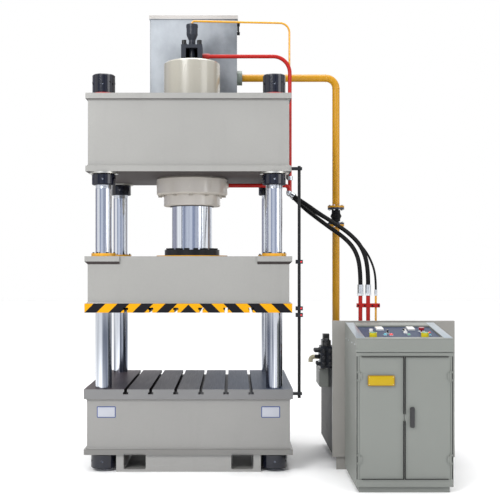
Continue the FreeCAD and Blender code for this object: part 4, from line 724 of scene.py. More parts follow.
# %% From arrays to a piece
def ring_faces(rows, columns):
    """Quads between neighbouring rings; each ring closes on itself."""
    row, column = np.meshgrid(np.arange(rows - 1), np.arange(columns), indexing="ij")
    after = (column + 1) % columns
    quads = np.stack([row * columns + column, row * columns + after,
                      (row + 1) * columns + after, (row + 1) * columns + column], axis=-1)
    return quads.reshape(-1, 4)


def shell(rings):
    """A closed skin from rings of points (rows, columns, 3), shut by a pole at each end."""
    rings = np.concatenate([np.broadcast_to(rings[:1].mean(axis=1, keepdims=True), rings[:1].shape), rings,
                            np.broadcast_to(rings[-1:].mean(axis=1, keepdims=True), rings[-1:].shape)])
    return rings.reshape(-1, 3), ring_faces(*rings.shape[:2])


def make_piece(name, shells, finish, body="press", angle=35):
    """One mesh from several shells: poles merged, normals outwards, edges sharp above the angle."""
    counts = [len(points) for points, _ in shells]
    starts = np.cumsum([0] + counts[:-1])
    points = np.concatenate([points for points, _ in shells])
    faces = np.concatenate([quads + start for (_, quads), start in zip(shells, starts)])
    mesh = bpy.data.meshes.new(name)
    mesh.from_pydata(points.tolist(), [], faces.tolist())
    work = bmesh.new()
    work.from_mesh(mesh)
    bmesh.ops.remove_doubles(work, verts=work.verts, dist=1e-6)
    bmesh.ops.recalc_face_normals(work, faces=work.faces)
    work.to_mesh(mesh)
    work.free()
    mesh.shade_smooth()
    mesh.set_sharp_from_angle(angle=math.radians(angle))
    mesh.materials.append(FINISHES[finish])
    piece = bpy.data.objects.new(name, mesh)
    scene.collection.objects.link(piece)
    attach(piece, body)
    return piece


# %% Frames and rings
def axes_for(direction):
    """Two unit vectors square to a direction, and the direction itself."""
    ahead = np.array(direction, float)
    ahead /= np.linalg.norm(ahead)
    helper = np.array([0.0, 0.0, 1.0]) if abs(ahead[2]) < 0.9 else np.array([1.0, 0.0, 0.0])
    side = np.cross(helper, ahead)
    side /= np.linalg.norm(side)
    return np.array([side, np.cross(ahead, side), ahead])


def turned(centre, direction, profile, count=32, wave=None):
    """A profile of (radius, distance along) turned about an axis; wave changes the radius by angle."""
    radius, along = np.array(profile, float).T
    angle = np.linspace(0, 2 * np.pi, count, endpoint=False)
    radius = np.repeat(radius[:, None], count, axis=1)
    if wave is not None:
        radius = radius * wave(angle)[None, :]
    local = np.stack([radius * np.cos(angle), radius * np.sin(angle),
                      np.repeat(along[:, None], count, axis=1)], axis=-1)
    return shell(np.array(centre, float) + local @ axes_for(direction))


def swept(path, radius, count=12):
    """A circle carried along a path of points, kept square to it by a steady frame."""
    path = np.array(path, float)
    ahead = np.gradient(path, axis=0)
    ahead /= np.linalg.norm(ahead, axis=1, keepdims=True)
    side = np.cross(ahead, axes_for(ahead[0])[1])
    side /= np.linalg.norm(side, axis=1, keepdims=True)
    up = np.cross(ahead, side)
    angle = np.linspace(0, 2 * np.pi, count, endpoint=False)
    radius = np.broadcast_to(np.asarray(radius, float), len(path))[:, None, None]
    around = side[:, None] * np.cos(angle)[:, None] + up[:, None] * np.sin(angle)[:, None]
    return shell(path[:, None] + radius * around)


def outline(width, height, corner, count=6):
    """A rounded rectangle: four quarter circles joined by straight runs."""
    angle = np.linspace(0, np.pi / 2, count)
    signs = [(1, 1), (-1, 1), (-1, -1), (1, -1)]
    runs = [np.stack([across * (width / 2 - corner) + corner * np.cos(angle + turn * np.pi / 2),
                      up * (height / 2 - corner) + corner * np.sin(angle + turn * np.pi / 2)], axis=1)
            for turn, (across, up) in enumerate(signs)]
    return np.concatenate(runs)


def plate(centre, axes, width, height, thickness, corner, edge):
    """A plate with rounded corners whose rim is rounded too: outlines stacked from back to front."""
    rounding = np.linspace(0, np.pi / 2, 4)
    inset = np.concatenate([[0.0], edge * (1 - np.cos(rounding))])
    height_up = np.concatenate([[0.0], thickness - edge + edge * np.sin(rounding)])
    rings = np.stack([np.column_stack([outline(width - 2 * step, height - 2 * step, max(corner - step, 1e-4)),
                                       np.full(24, lift)]) for step, lift in zip(inset, height_up)])
    return shell(np.array(centre, float) + rings @ np.array(axes, float))


def screw_head(centre, direction, diameter, height):
    """A cap screw's head: a turned barrel with a six-sided socket sunk into it."""
    outer, socket = diameter / 2, diameter / 4
    profile = [(outer, 0), (outer, height * 0.85), (outer * 0.9, height), (socket, height),
               (socket * 0.98, height * 0.4)]
    return turned(centre, direction, profile, 24)


def hexagon(centre, direction, across, height):
    """A hexagon nut: its radius follows 1 / cos of the angle from the nearest flat."""
    flat = across / 2
    profile = [(flat, 0), (flat, height * 0.9), (flat * 0.93, height), (flat * 0.45, height),
               (flat * 0.4, height * 0.8)]
    return turned(centre, direction, profile, 36,
                  lambda angle: 1 / np.cos((angle % (np.pi / 3)) - np.pi / 6) * 0.97)


# Directions, and the axes (across, up, out) of a plate that faces each way.
UP, TO_FRONT, TO_BACK, TO_LEFT, TO_RIGHT = (0, 0, 1), (0, -1, 0), (0, 1, 0), (-1, 0, 0), (1, 0, 0)
FRONT = [TO_RIGHT, UP, TO_FRONT]
LEFT = [TO_FRONT, UP, TO_LEFT]
RIGHT = [TO_BACK, UP, TO_RIGHT]
BACK = [TO_LEFT, UP, TO_BACK]
UPWARD = [TO_RIGHT, TO_BACK, UP]

# %% [markdown]
# ## Weld beads
# The beams are boxes welded from plate, and where a cover plate laps over a wall there is a fillet
# weld. A welder lays it in small overlapping pools, so the bead is a tube whose thickness ripples
# along its length. It follows the corner all round the box.

# %% Weld beads round the boxes
def weld_loop(half_x, half_y, height, leg, pitch=0.009):
    """A rippled tube round a rectangle: radius = leg times (1 + an eighth of the pools' wave)."""
    corners = np.array([(-half_x, -half_y), (half_x, -half_y), (half_x, half_y), (-half_x, half_y),
                        (-half_x, -half_y)])
    runs = [np.linspace(start, end, max(int(np.linalg.norm(end - start) / pitch), 2), endpoint=False)
            for start, end in zip(corners, corners[1:])]
    path = np.concatenate([*runs, corners[-1:] + [[0.0, -0.0001]]])
    path = np.column_stack([path, np.full(len(path), height)])
    ripple = 1 + 0.12 * np.cos(np.arange(len(path)) * np.pi)
    return swept(path, leg * ripple, 8)


BEAM_LOW, BEAM_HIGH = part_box("top_beam")
COVER_PLATE, SEAT = 0.040, 0.002
FOOT_LOW, FOOT_HIGH = 0.125, 0.165
BEAM_HALF, BED_HALF, SKIRT_HALF, SLIDE_HALF = (0.725, 0.570), (0.730, 0.580), (0.520, 0.565), (0.725, 0.580)
make_piece("beam_weld_beads", [
    weld_loop(*BEAM_HALF, BEAM_LOW.z + COVER_PLATE + SEAT, 0.0065),
    weld_loop(*BEAM_HALF, BEAM_HIGH.z - COVER_PLATE - SEAT, 0.0065)], "machine_grey")
make_piece("bed_weld_beads", [
    weld_loop(*BED_HALF, FOOT_HIGH + SEAT, 0.0065),
    weld_loop(*BED_HALF, TABLE_LOW.z - SEAT, 0.006),
    weld_loop(*SKIRT_HALF, FOOT_LOW - SEAT, 0.0055)], "machine_grey")
make_piece("slide_weld_bead", [weld_loop(*SLIDE_HALF, PLATEN_HIGH.z + SEAT, 0.006)], "machine_grey",
           "slide")

# %% [markdown]
# ## Blank plates on the bed and the console
# Two small framed plates sit on the bed's front corners. They stay blank here: a satin plate over
# a slightly larger blue rim, with a rivet at each corner. The console's left door carries one in
# yellow, over a dark rim.

# %% Blank plates
def framed_plate(name, centre, width, height, rim, face, body="press"):
    """A rim plate, a face plate on it and four rivets, all rounded at their edges."""
    centre = np.array(centre, float)
    make_piece(name + "_rim", [plate(centre, FRONT, width, height, 0.0016, 0.006, 0.0005)], rim, body)
    shells = [plate(centre + (0, -0.0014, 0), FRONT, width - 0.012, height - 0.012, 0.0012, 0.004, 0.0004)]
    make_piece(name + "_face", shells, face, body)
    rivet = [(0.0022, 0), (0.0022, 0.0006), (0.0014, 0.0016), (0.0004, 0.0019)]
    rivets = [turned(centre + (across * (width / 2 - 0.010), -0.0024, up * (height / 2 - 0.010)), TO_FRONT,
                     rivet, 16)
              for across in (-1, 1) for up in (-1, 1)]
    make_piece(name + "_rivets", rivets, "zinc", body)


for side, across in (("left", -0.591), ("right", 0.591)):
    framed_plate("bed_plate_" + side, (across, -BED_HALF[1], 0.430), 0.135, 0.081, "border_blue",
                 "plate_silver")
door_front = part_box("door_left")[0].y
framed_plate("door_plate", (1.285, door_front, 0.7345), 0.176, 0.069, "rim_amber", "plate_yellow",
             "left_door")
print("bed front", -BED_HALF[1], "door front", round(door_front, 3))

# %% [markdown]
# ## Nuts, rings and threads
# The columns end in threads under their big round nuts. The nut's rim has a thin red mark ring,
# and the thread shows as fine ridges at the column's head. A thread this fine reads as stacked
# rings: the radius swings between crest and root along the axis.

# %% Column threads and mark rings
COLUMN_SPOTS = [(across, along) for across in (-0.62, 0.62) for along in (-0.5, 0.5)]
THREAD_LOW, THREAD_HIGH, THREAD_RADIUS = 2.040, 2.068, 0.0612
NUT_RADIUS, GRUB_HEIGHT, GRUB_TURN = 0.0826, 2.808, 0.2


def thread_profile(radius, low, high, pitch=0.004, depth=0.0016):
    """Radius against height: a triangle wave of the pitch, closed at both ends."""
    count = int((high - low) / pitch) * 2
    along = np.linspace(low, high, count)
    return np.column_stack([radius - depth * (np.arange(count) % 2), along])


def column_trim():
    """Thread ends above the lock nuts' lower faces, and a mark ring at the foot of each top nut."""
    mark = [(NUT_RADIUS, 0.0), (0.0852, 0.0008), (0.0852, 0.0058), (NUT_RADIUS, 0.0066)]
    pin = [(0.0075, -0.002), (0.0075, 0.0006), (0.0045, 0.0006), (0.004, -0.001)]
    thread = thread_profile(THREAD_RADIUS, THREAD_LOW, THREAD_HIGH)
    marks = [turned((*spot, BEAM_HIGH.z), UP, mark, 64) for spot in COLUMN_SPOTS]
    ends = [turned((*spot, 0), UP, thread, 48) for spot in COLUMN_SPOTS]
    pins = []
    for across, along in COLUMN_SPOTS:
        for angle in np.arange(6) * math.pi / 3 + GRUB_TURN:
            out = np.array([math.cos(angle), math.sin(angle), 0])
            pins.append(turned(out * NUT_RADIUS + (across, along, GRUB_HEIGHT), out, pin, 16))
    make_piece("column_mark_rings", marks, "signal_red")
    make_piece("column_threads", ends, "hard_chrome")
    make_piece("nut_grub_screws", pins, "screw_black")


column_trim()

# %% [markdown]
# ## The console's sloping head
# The head slopes up to the back by a few degrees, so its pieces are placed in a sloping frame: across, up the
# slope, and out of it. Two pale blue metal strips cover the head beside the recess, a painted reflection of
# the sky on the head's sheen, and a thin one closes the back. The panel carries lamps, bezels and two dial
# meters.

# %% A frame on the slope
SLOPE = math.radians(6.3)
HEAD_EDGE = np.array([0.0, -1.190, 1.008])
SLOPE_AXES = np.array([(1, 0, 0), (0, math.cos(SLOPE), math.sin(SLOPE)),
                       (0, -math.sin(SLOPE), math.cos(SLOPE))])
PANEL_FACE = -0.010


def on_slope(across, up, out=PANEL_FACE):
    """A point of the sloping frame in the machine's frame."""
    return HEAD_EDGE + np.array([across, up, out]) @ SLOPE_AXES


OUT = SLOPE_AXES[2]

# %% Strips on the head
# Painted reflection: the pale blue of these metal strips stands in for the sky mirrored in the head's paint.
ground_metal("sheen_strip_metal", "a9b4bd", 0.30, (1, 0.02, 1), 700)
head_low, head_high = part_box("console_cabinet")
STRIP_MIDDLE, STRIP_LENGTH = 0.3060, 0.575
make_piece("head_side_strips", [
    plate(on_slope(across, STRIP_MIDDLE, 0.0), SLOPE_AXES, width, STRIP_LENGTH, 0.0016, 0.002, 0.0006)
    for across, width in ((1.1548, 0.0585), (1.7284, 0.0565))], "sheen_strip_metal")
make_piece("head_back_strip", [plate(on_slope(1.442, 0.535, 0.0), SLOPE_AXES, 0.512, 0.112, 0.0010, 0.002,
                                     0.0004)],
           "cabinet_grey")
RECESS = ((1.188, 0.053), (1.696, 0.053), (1.696, 0.471), (1.188, 0.471))
edges = [np.linspace(start, end, 4) for start, end in zip(RECESS, RECESS[1:] + RECESS[:1])]
make_piece("recess_frame", [swept([on_slope(x, y, -0.0105) for x, y in edge], 0.0016, 8) for edge in edges],
           "matt_black")

# %% Lamps, bezels and name strips
def bezel(across, up, radius):
    """A low ring round a button: up its outer side, over a rounded rim and down inside."""
    profile = [(radius, 0), (radius, 0.0018), (radius * 0.97, 0.0028), (radius * 0.86, 0.0028),
               (radius * 0.84, 0.0012)]
    return turned(on_slope(across, up), OUT, profile, 32)


def lens(across, up, radius):
    """A domed lamp lens: a quarter wave from rim to crown."""
    bend = np.linspace(0, np.pi / 2, 8)
    profile = np.column_stack([radius * np.cos(bend), 0.004 + radius * 0.7 * np.sin(bend)])
    return turned(on_slope(across, up), OUT, [(radius, 0), *profile[:-1], (radius * 0.02, profile[-1][1])],
                  24)


# Each lamp's place across and up the slope, its radius and its colour.
LAMPS = {
    "lamp_green_right": (1.500, 0.170, 0.011, "lamp_green"),
    "lamp_teal_left": (1.342, 0.172, 0.012, "lamp_teal"),
    "lamp_red_left": (1.380, 0.166, 0.0135, "lamp_red"),
    "lamp_teal_right": (1.640, 0.160, 0.008, "lamp_teal"),
    "lamp_red_right": (1.655, 0.250, 0.008, "lamp_red"),
}
for name, (across, up, radius, finish) in LAMPS.items():
    make_piece(name, [lens(across, up, radius)], finish)
# The reset, start and stop buttons and the two selectors.
BUTTONS = [(1.263, 0.285, 0.0165), (1.498, 0.322, 0.0165), (1.610, 0.300, 0.024), (1.370, 0.255, 0.0165),
           (1.492, 0.255, 0.0165)]
make_piece("button_bezels", [bezel(*spot) for spot in BUTTONS]
           + [bezel(across, up, radius * 1.3) for across, up, radius, _ in LAMPS.values()], "zinc")
make_piece("collar_feet", [bezel(across, 0.104, 0.031) for across in (1.250, 1.593)], "matt_black")
STRIP_DROP = 0.034
make_piece("name_strips", [plate(on_slope(across, up - STRIP_DROP), SLOPE_AXES, 0.030, 0.009, 0.0008, 0.001,
                                 0.0003)
                           for across, up, _ in BUTTONS], "plate_silver")

# %% Meter dials
METER_HIGH, DIAL_SHIFT, NEEDLE_WIDTHS = 0.390, 0.008, [0.0008, 0.0006, 0.0002]


def on_arc(across, reach_x, reach_y, angle, out):
    """A point of the scale's ellipse about the meter's hub."""
    return on_slope(across + reach_x * math.cos(angle), METER_HIGH - DIAL_SHIFT + reach_y * math.sin(angle),
                    out)


def meter(number, across):
    """A white dial with a scale arc of ticks and a needle, set in a white frame."""
    face = PANEL_FACE + 0.010
    make_piece(f"meter_frame_{number}", [plate(on_slope(across, METER_HIGH, face), SLOPE_AXES, 0.046, 0.084,
                                               0.002, 0.004, 0.0008)], "cap_white")
    make_piece(f"meter_dial_{number}", [plate(on_slope(across, METER_HIGH + DIAL_SHIFT, face + 0.0018),
                                              SLOPE_AXES,
                                              0.040, 0.058, 0.0008, 0.002, 0.0003)], "dial_white")
    ticks = [swept([on_arc(across, 0.015 * reach, 0.026 * reach, angle, face + 0.0026)
                    for reach in (0.86, 0.93, 1.0)], 0.0004, 6) for angle in np.radians(np.linspace(40, 140,
                                                                                                    11))]
    needle = [on_slope(across + 0.013 * reach, METER_HIGH - DIAL_SHIFT + 0.020 * reach, face + 0.0030)
              for reach in (0.0, 0.5, 1.0)]
    hub = turned(on_arc(across, 0, 0, 0, face + 0.0026), OUT, [(0.0024, 0), (0.0024, 0.0008),
                                                               (0.0012, 0.0014)], 16)
    make_piece(f"meter_scale_{number}", [*ticks, swept(needle, NEEDLE_WIDTHS, 6), hub], "matt_black")


for number, across in enumerate((1.335, 1.552)):
    meter(number, across)

# %% [markdown]
# ## Cabinet details
# A steel cabinet has a lock with an escutcheon, louvres pressed into its sides and screws along
# its edges. A louvre is a bump that tapers at both ends and droops like an eyelid.

# %% Escutcheon, louvres and screws
LOCK = (1.488, 0.495)
make_piece("lock_escutcheon", [plate((LOCK[0], door_front, LOCK[1]), FRONT, 0.030, 0.134, 0.0022, 0.008,
                                     0.0008)],
           "matt_black", "right_door")
HANDLE_SWEEP = (LOCK[1] - 0.021, LOCK[1] + 0.021)


def door_trim(door, body, hinge_side):
    """Black rubber edging that paints the shadow of the door gaps: slim bars on a door's free, top and bottom
    edges, and on the frame at its hinges.

    The free edge stays bare where the turned handle passes over it.
    """
    low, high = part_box(door)
    wide, proud, hinge_gap, frame_step = 0.006, 0.0008, 0.020, 0.006
    free_x, hinge_x = (high.x - wide / 2, low.x - 0.0075) if hinge_side < 0 else (low.x + wide / 2,
                                                                                  high.x + 0.0075)
    across = (low.x + high.x) / 2 - hinge_side * hinge_gap / 2
    bars = [plate((free_x, low.y, (start + stop) / 2), FRONT, wide, stop - start, proud, 0.001, 0.0002)
            for start, stop in ((low.z, HANDLE_SWEEP[0]), (HANDLE_SWEEP[1], high.z))]
    bars += [plate((across, low.y, z), FRONT, high.x - low.x - hinge_gap, wide, proud, 0.001, 0.0002)
             for z in (low.z + wide / 2, high.z - wide / 2)]
    make_piece(door + "_edging", bars, "bellows_rubber", body)
    frame_bar = plate((hinge_x, head_low.y + frame_step, (low.z + high.z) / 2), FRONT, 0.005, high.z - low.z,
                      proud, 0.001, 0.0002)
    make_piece(door + "_frame_edging", [frame_bar], "bellows_rubber")


door_trim("door_left", "left_door", -1)
door_trim("door_right", "right_door", 1)


def louvre(length, drop=0.014, proud=0.007, rows=17, columns=16):
    """A pressed slot: rings along it, each a half drop shape that tapers at both ends."""
    along = np.linspace(-1, 1, rows)[:, None]
    bulge = np.clip((1 - np.abs(along)) / 0.12, 0, 1) ** 0.5
    bend = np.linspace(0, 2 * np.pi, columns, endpoint=False)
    out = np.maximum(proud * (0.15 + np.cos(bend) * (1 - 0.35 * np.sin(bend))), -0.0005)
    return np.stack([np.repeat(along * length / 2, columns, axis=1),
                     drop / 2 * np.sin(bend) * (0.4 + 0.6 * bulge), out * bulge], axis=-1)


def louvre_bank(name, centre, axes, count, length, pitch=0.032):
    """A column of louvres on one wall."""
    rings = np.array(centre, float) + louvre(length) @ np.array(axes, float)
    rises = (np.arange(count) - (count - 1) / 2) * pitch
    make_piece(name, [shell(rings + (0, 0, rise)) for rise in rises], "cabinet_grey", angle=50)


louvre_bank("console_louvres_right", (head_high.x, -0.885, 0.30), RIGHT, 8, 0.20)
louvre_bank("console_louvres_right_high", (head_high.x, -0.885, 0.74), RIGHT, 5, 0.20)
louvre_bank("console_louvres_back", (1.441, head_high.y, 0.62), BACK, 8, 0.26)
make_piece("head_side_screws", [screw_head((x, y, 0.965), out, 0.010, 0.004)
                                for x, out in ((head_low.x, TO_LEFT), (head_high.x, TO_RIGHT))
                                for y in (-1.12, -0.98, -0.80, -0.66)], "zinc")
rain_edge = [(x, -1.1935, 1.0060) for x in np.linspace(head_low.x + 0.001, head_high.x - 0.001, 9)]
make_piece("head_rain_edge", [swept(rain_edge, 0.0020, 8)], "cabinet_grey")

# %% [markdown]
# ## Motor, pump and valves
# The motor's cast barrel is ribbed for cooling, its fan sits under a domed cowl, and a terminal box lid is
# screwed to it. The pump is bolted to the bellhousing. On the manifold each solenoid valve has a coil cap at
# both ends and a plug with a gland on top.

# %% Motor
MOTOR_AXIS, FIN_MIDDLE, FLANGE_FACE, COWL_END = (0.170, 0.880), 1.662, 1.500, 1.882
MOTOR_BOX = (1.690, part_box("pump_motor")[1].y, 0.900)


def around_motor(along, radius, angle):
    """A point at a distance along the shaft, at a radius and an angle round it."""
    return np.array([along, MOTOR_AXIS[0] + radius * math.cos(angle),
                     MOTOR_AXIS[1] + radius * math.sin(angle)])


def ring_of_eight(along, radius, out, diameter, height):
    """Eight cap screws evenly round the motor's axis."""
    return [screw_head(around_motor(along, radius, math.pi / 4 * (number + 0.5)), out, diameter, height)
            for number in range(8)]


def fins(count=40):
    """Ribs along the barrel, each a thin rounded plate that stands on end; none where feet or box are."""
    ribs = []
    for angle in np.arange(count) * 2 * math.pi / count:
        if math.sin(angle) > -0.62 and math.cos(angle - 0.13) < 0.88:
            out = (0, math.cos(angle), math.sin(angle))
            across = np.array([0, -math.sin(angle), math.cos(angle)])
            foot = around_motor(FIN_MIDDLE, 0.1545, angle) - 0.0014 * across
            ribs.append(plate(foot, [TO_RIGHT, out, across], 0.250, 0.013, 0.0028, 0.005, 0.0006))
    return ribs


def motor_piece(name, shells):
    """A piece in the motor's own paint."""
    make_piece(name, shells, "motor_blue")


motor_piece("motor_fins", fins())
centre = around_motor(0, 0, 0)
bend = np.linspace(0, np.pi / 2, 10)
cowl = [(0.153, 1.792), (0.157, 1.796), (0.157, 1.868), *zip(0.120 + 0.037 * np.cos(bend),
                                                             1.868 + 0.014 * np.sin(bend)),
        (0.020, COWL_END)]
motor_piece("motor_fan_cowl", [turned(centre, TO_RIGHT, cowl, 64)])
grille = [turned(around_motor(COWL_END - 0.0002, 0, 0), TO_RIGHT,
                 [(r, 0), (r + 0.002, 0.0012), (r + 0.004, 0)], 48)
          for r in (0.035, 0.052, 0.069, 0.086, 0.103)]
make_piece("motor_fan_grille", grille, "matt_black")
flange = [(0.128, 0), (0.157, 0), (0.160, 0.003), (0.160, 0.019), (0.157, 0.022), (0.150, 0.022)]
motor_piece("motor_flange", [turned(around_motor(FLANGE_FACE, 0, 0), TO_RIGHT, flange, 64)])
make_piece("motor_flange_screws", ring_of_eight(FLANGE_FACE + 0.022, 0.154, TO_RIGHT, 0.014, 0.008),
           "screw_black")
motor_piece("motor_box_lid", [plate(MOTOR_BOX, BACK, 0.126, 0.106, 0.004, 0.008, 0.0015)])
make_piece("motor_box_screws", [screw_head(np.array(MOTOR_BOX) + (across * 0.052, 0.004, up * 0.042),
                                           TO_BACK, 0.008, 0.003)
                                for across in (-1, 1) for up in (-1, 1)], "zinc")

# %% Pump and bellhousing
PORT_ALONG, PORT_RADIUS, BELL_FACE = 1.330, 0.083, 1.398
make_piece("bell_screws", ring_of_eight(BELL_FACE, 0.104, TO_LEFT, 0.016, 0.009), "screw_black")
port = [(0.030, 0), (0.030, 0.010), (0.027, 0.012), (0.020, 0.012), (0.018, 0.030), (0.016, 0.034)]
make_piece("pump_ports", [turned(around_motor(PORT_ALONG, PORT_RADIUS, angle),
                                 (0, math.cos(angle), math.sin(angle)), port, 32)
                          for angle in (0.0, math.pi)], "zinc")
adjuster = [(0.005, 0), (0.005, 0.030), (0.003, 0.032)]
make_piece("pump_adjuster", [hexagon(around_motor(1.270, 0.045, math.pi / 3), TO_LEFT, 0.022, 0.014),
                             turned(around_motor(1.262, 0.045, math.pi / 3), TO_LEFT, adjuster, 16)], "zinc")
BEND = ((0, 0.028, 0), (0, 0.060, 0), (0, 0.078, -0.004), (0, 0.092, -0.016), (0, 0.098, -0.034),
        (0, 0.098, -0.080),
        (0, 0.098, -0.1735))
make_piece("suction_bend", [swept([around_motor(PORT_ALONG, PORT_RADIUS, 0) + step for step in BEND], 0.017,
                                  20)], "ochre")

# %% Valves on the manifold
MANIFOLD_LOW, MANIFOLD_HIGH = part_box("valve_manifold")
VALVE_ROW = (MANIFOLD_LOW.y + MANIFOLD_HIGH.y) / 2
VALVE_TOP = MANIFOLD_HIGH.z
VALVE_PLACES = [1.030 + 0.140 * number for number in range(3)]
COIL_CAP = [(0.0155, -0.030), (0.0205, -0.029), (0.0215, -0.026), (0.0215, -0.003), (0.0200, 0.0),
            (0.0100, 0.001),
            (0.0090, 0.006), (0.0070, 0.007)]
PLUG_GLAND = [(0.0075, 0), (0.0075, 0.007), (0.006, 0.010), (0.0045, 0.012)]
ends = [(x, side) for x in VALVE_PLACES for side in (-1, 1)]
make_piece("valve_coil_caps", [turned((x, VALVE_ROW + side * 0.085, VALVE_TOP + 0.022), (0, side, 0),
                                      COIL_CAP, 32)
                               for x, side in ends], "matt_black")
make_piece("valve_plugs", [plate((x, VALVE_ROW + side * 0.067, VALVE_TOP + 0.040), UPWARD, 0.030, 0.030,
                                 0.022,
                                 0.004, 0.002) for x, side in ends], "cap_black")
make_piece("valve_plug_glands", [turned((x, VALVE_ROW + side * 0.080, VALVE_TOP + 0.052), (0, side, 0),
                                        PLUG_GLAND, 20)
                                 for x, side in ends], "dark_iron")
make_piece("valve_screws", [screw_head((x + across * 0.026, VALVE_ROW + along * 0.046, VALVE_TOP + 0.044),
                                       UP, 0.009, 0.005)
                            for x in VALVE_PLACES for across in (-1, 1) for along in (-1, 1)], "zinc")


def side_cartridge(row, height, along):
    """A cartridge valve on the manifold's left side; the rows reach out further from one to the next."""
    wide = 0.017 + 0.003 * ((row + (along > 0)) % 2)
    reach = 0.026 + 0.008 * row
    return turned((MANIFOLD_LOW.x, VALVE_ROW + along, height), TO_LEFT, [
        (wide, 0), (wide, 0.008), (wide * 0.7, 0.010), (wide * 0.8, 0.012), (wide * 0.8, reach),
        (wide * 0.4, reach + 0.004)], 24)


ROWS = (0.735, 0.785, 0.835)
FRONT_CARTRIDGE = [(0.019, 0), (0.019, 0.006), (0.014, 0.008), (0.016, 0.011), (0.016, 0.034), (0.007, 0.038)]
duct_spot = (1, -0.035)
cartridges = [side_cartridge(row, height, along) for row, height in enumerate(ROWS) for along in (-0.035,
                                                                                                  0.035)
              if (row, along) != duct_spot]
cartridges += [turned((across, MANIFOLD_LOW.y, height), TO_FRONT, FRONT_CARTRIDGE, 24)
               for height in ROWS for across in (1.010, 1.058, 1.106)]
make_piece("cartridge_valves", cartridges, "valve_black")
SIDE_PORT = [(0.017, 0), (0.017, 0.006), (0.014, 0.007), (0.014, 0.013), (0.0115, 0.014)]
FRONT_PORT = [(0.022, 0), (0.022, 0.012), (0.019, 0.014), (0.016, 0.014)]
PILOT_PORT = [(0.014, 0), (0.014, 0.010), (0.0085, 0.012)]
ports = [turned((MANIFOLD_LOW.x + 0.001, VALVE_ROW, height), TO_LEFT, SIDE_PORT, 6) for height in (0.746,
                                                                                                   0.816)]
ports += [turned((x, MANIFOLD_LOW.y, 0.790), TO_FRONT, FRONT_PORT, 6) for x in (1.263, 1.320)]
ports.append(turned((1.377, MANIFOLD_LOW.y, 0.830), TO_FRONT, PILOT_PORT, 6))
make_piece("manifold_fittings", ports, "zinc")

# %% Terminal box on the oil tank
BOX_LOW, BOX_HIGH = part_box("junction_box")
LID_THICKNESS, SCREW_INSET = 0.004, 0.014
box_middle = (BOX_LOW + BOX_HIGH) / 2
lid = plate((BOX_LOW.x, box_middle.y, box_middle.z), LEFT, BOX_HIGH.y - BOX_LOW.y - 0.006,
            BOX_HIGH.z - BOX_LOW.z - 0.006,
            LID_THICKNESS, 0.006, 0.0015)
make_piece("terminal_box_lid", [lid], "cabinet_grey")
make_piece("terminal_box_screws", [screw_head((BOX_LOW.x - LID_THICKNESS, y, z), TO_LEFT, 0.008, 0.003)
                                   for y in (BOX_LOW.y + SCREW_INSET, BOX_HIGH.y - SCREW_INSET)
                                   for z in (BOX_LOW.z + SCREW_INSET, BOX_HIGH.z - SCREW_INSET)], "zinc")
gland = [(0.020, 0), (0.020, 0.008), (0.0175, 0.009), (0.0185, 0.018), (0.0178, 0.022)]
make_piece("terminal_box_glands", [turned((1.020, -0.060, BOX_HIGH.z), UP, gland, 32)], "matt_black")

# %% Fittings of the oil tank
TANK_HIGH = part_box("reservoir")[1]
breather = [(0.042, 0), (0.044, 0.004), (0.044, 0.010), (0.034, 0.014), (0.034, 0.024), (0.046, 0.028),
            (0.048, 0.034),
            (0.048, 0.062), (0.044, 0.070), (0.030, 0.075), (0.006, 0.076)]
make_piece("oil_breather", [turned((1.808, 0.340, TANK_HIGH.z), UP, breather, 48,
                                   lambda a: 1 + 0.012 * np.cos(24 * a))],
           "matt_black")
HATCH, HATCH_BOLTS = (1.49, 0.42), 0.134
tank_cover = [(0.150, 0), (0.150, 0.006), (0.148, 0.008), (0.020, 0.008)]
make_piece("tank_hatch", [turned((HATCH[0], TANK_HIGH.y, HATCH[1]), TO_BACK, tank_cover, 64)], "unit_dark")
make_piece("tank_hatch_screws", [
    hexagon((HATCH[0] + HATCH_BOLTS * math.cos(angle), TANK_HIGH.y + 0.008,
             HATCH[1] + HATCH_BOLTS * math.sin(angle)),
            TO_BACK, 0.017, 0.008) for angle in np.linspace(0, 2 * np.pi, 12, endpoint=False)], "zinc")
make_piece("tank_drain", [hexagon((1.20, TANK_HIGH.y, 0.135), TO_BACK, 0.034, 0.018)], "zinc")
SIGHT = np.array((1.78, TANK_HIGH.y, 0.50))
make_piece("sight_frame", [plate(SIGHT, BACK, 0.036, 0.200, 0.006, 0.010, 0.0012)], "zinc")
make_piece("sight_glass", [plate(SIGHT + (0, 0.0055, 0), BACK, 0.020, 0.150, 0.003, 0.008, 0.001)],
           "oil_glass")

# %% [markdown]
# ## Upper works
# On top of the beam stand the cylinder's head, the filling valve and the filling tank. Their small
# parts are the rod's wiper, a level gauge, weld seams at the tank's corners and flange bolts.

# %% The rod's wiper
WIPER = [(0.1600, -0.004), (0.1620, -0.005), (0.1700, -0.004), (0.1720, 0.0), (0.1600, 0.0005)]
make_piece("gland_wiper", [turned((0, 0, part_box("cylinder_gland")[0].z), UP, WIPER, 96)], "bellows_rubber")

# %% Caps of the position sensors
SENSOR_CAP = [(0.0065, 0), (0.0065, 0.003), (0.004, 0.005)]
rod_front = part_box("rod_clamps")[0].y
make_piece("sensor_caps", [turned((0.808, rod_front, z), TO_FRONT, SENSOR_CAP, 20) for z in (1.510, 1.176,
                                                                                             1.129)],
           "lamp_red")

# %% Filling tank
FILL_LOW, FILL_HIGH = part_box("filling_tank")
LID_LOW, LID_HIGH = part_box("filling_tank_lid")


def corner_seam(x, y, count=90):
    """An upright weld at a corner of the tank, as thick as a pool's wave."""
    run = np.linspace(FILL_LOW.z + 0.004, FILL_HIGH.z - 0.004, count)
    ripple = 0.0030 * (1 + 0.12 * np.cos(np.arange(count) * np.pi))
    return swept(np.column_stack([np.full(count, x), np.full(count, y), run]), ripple, 8)


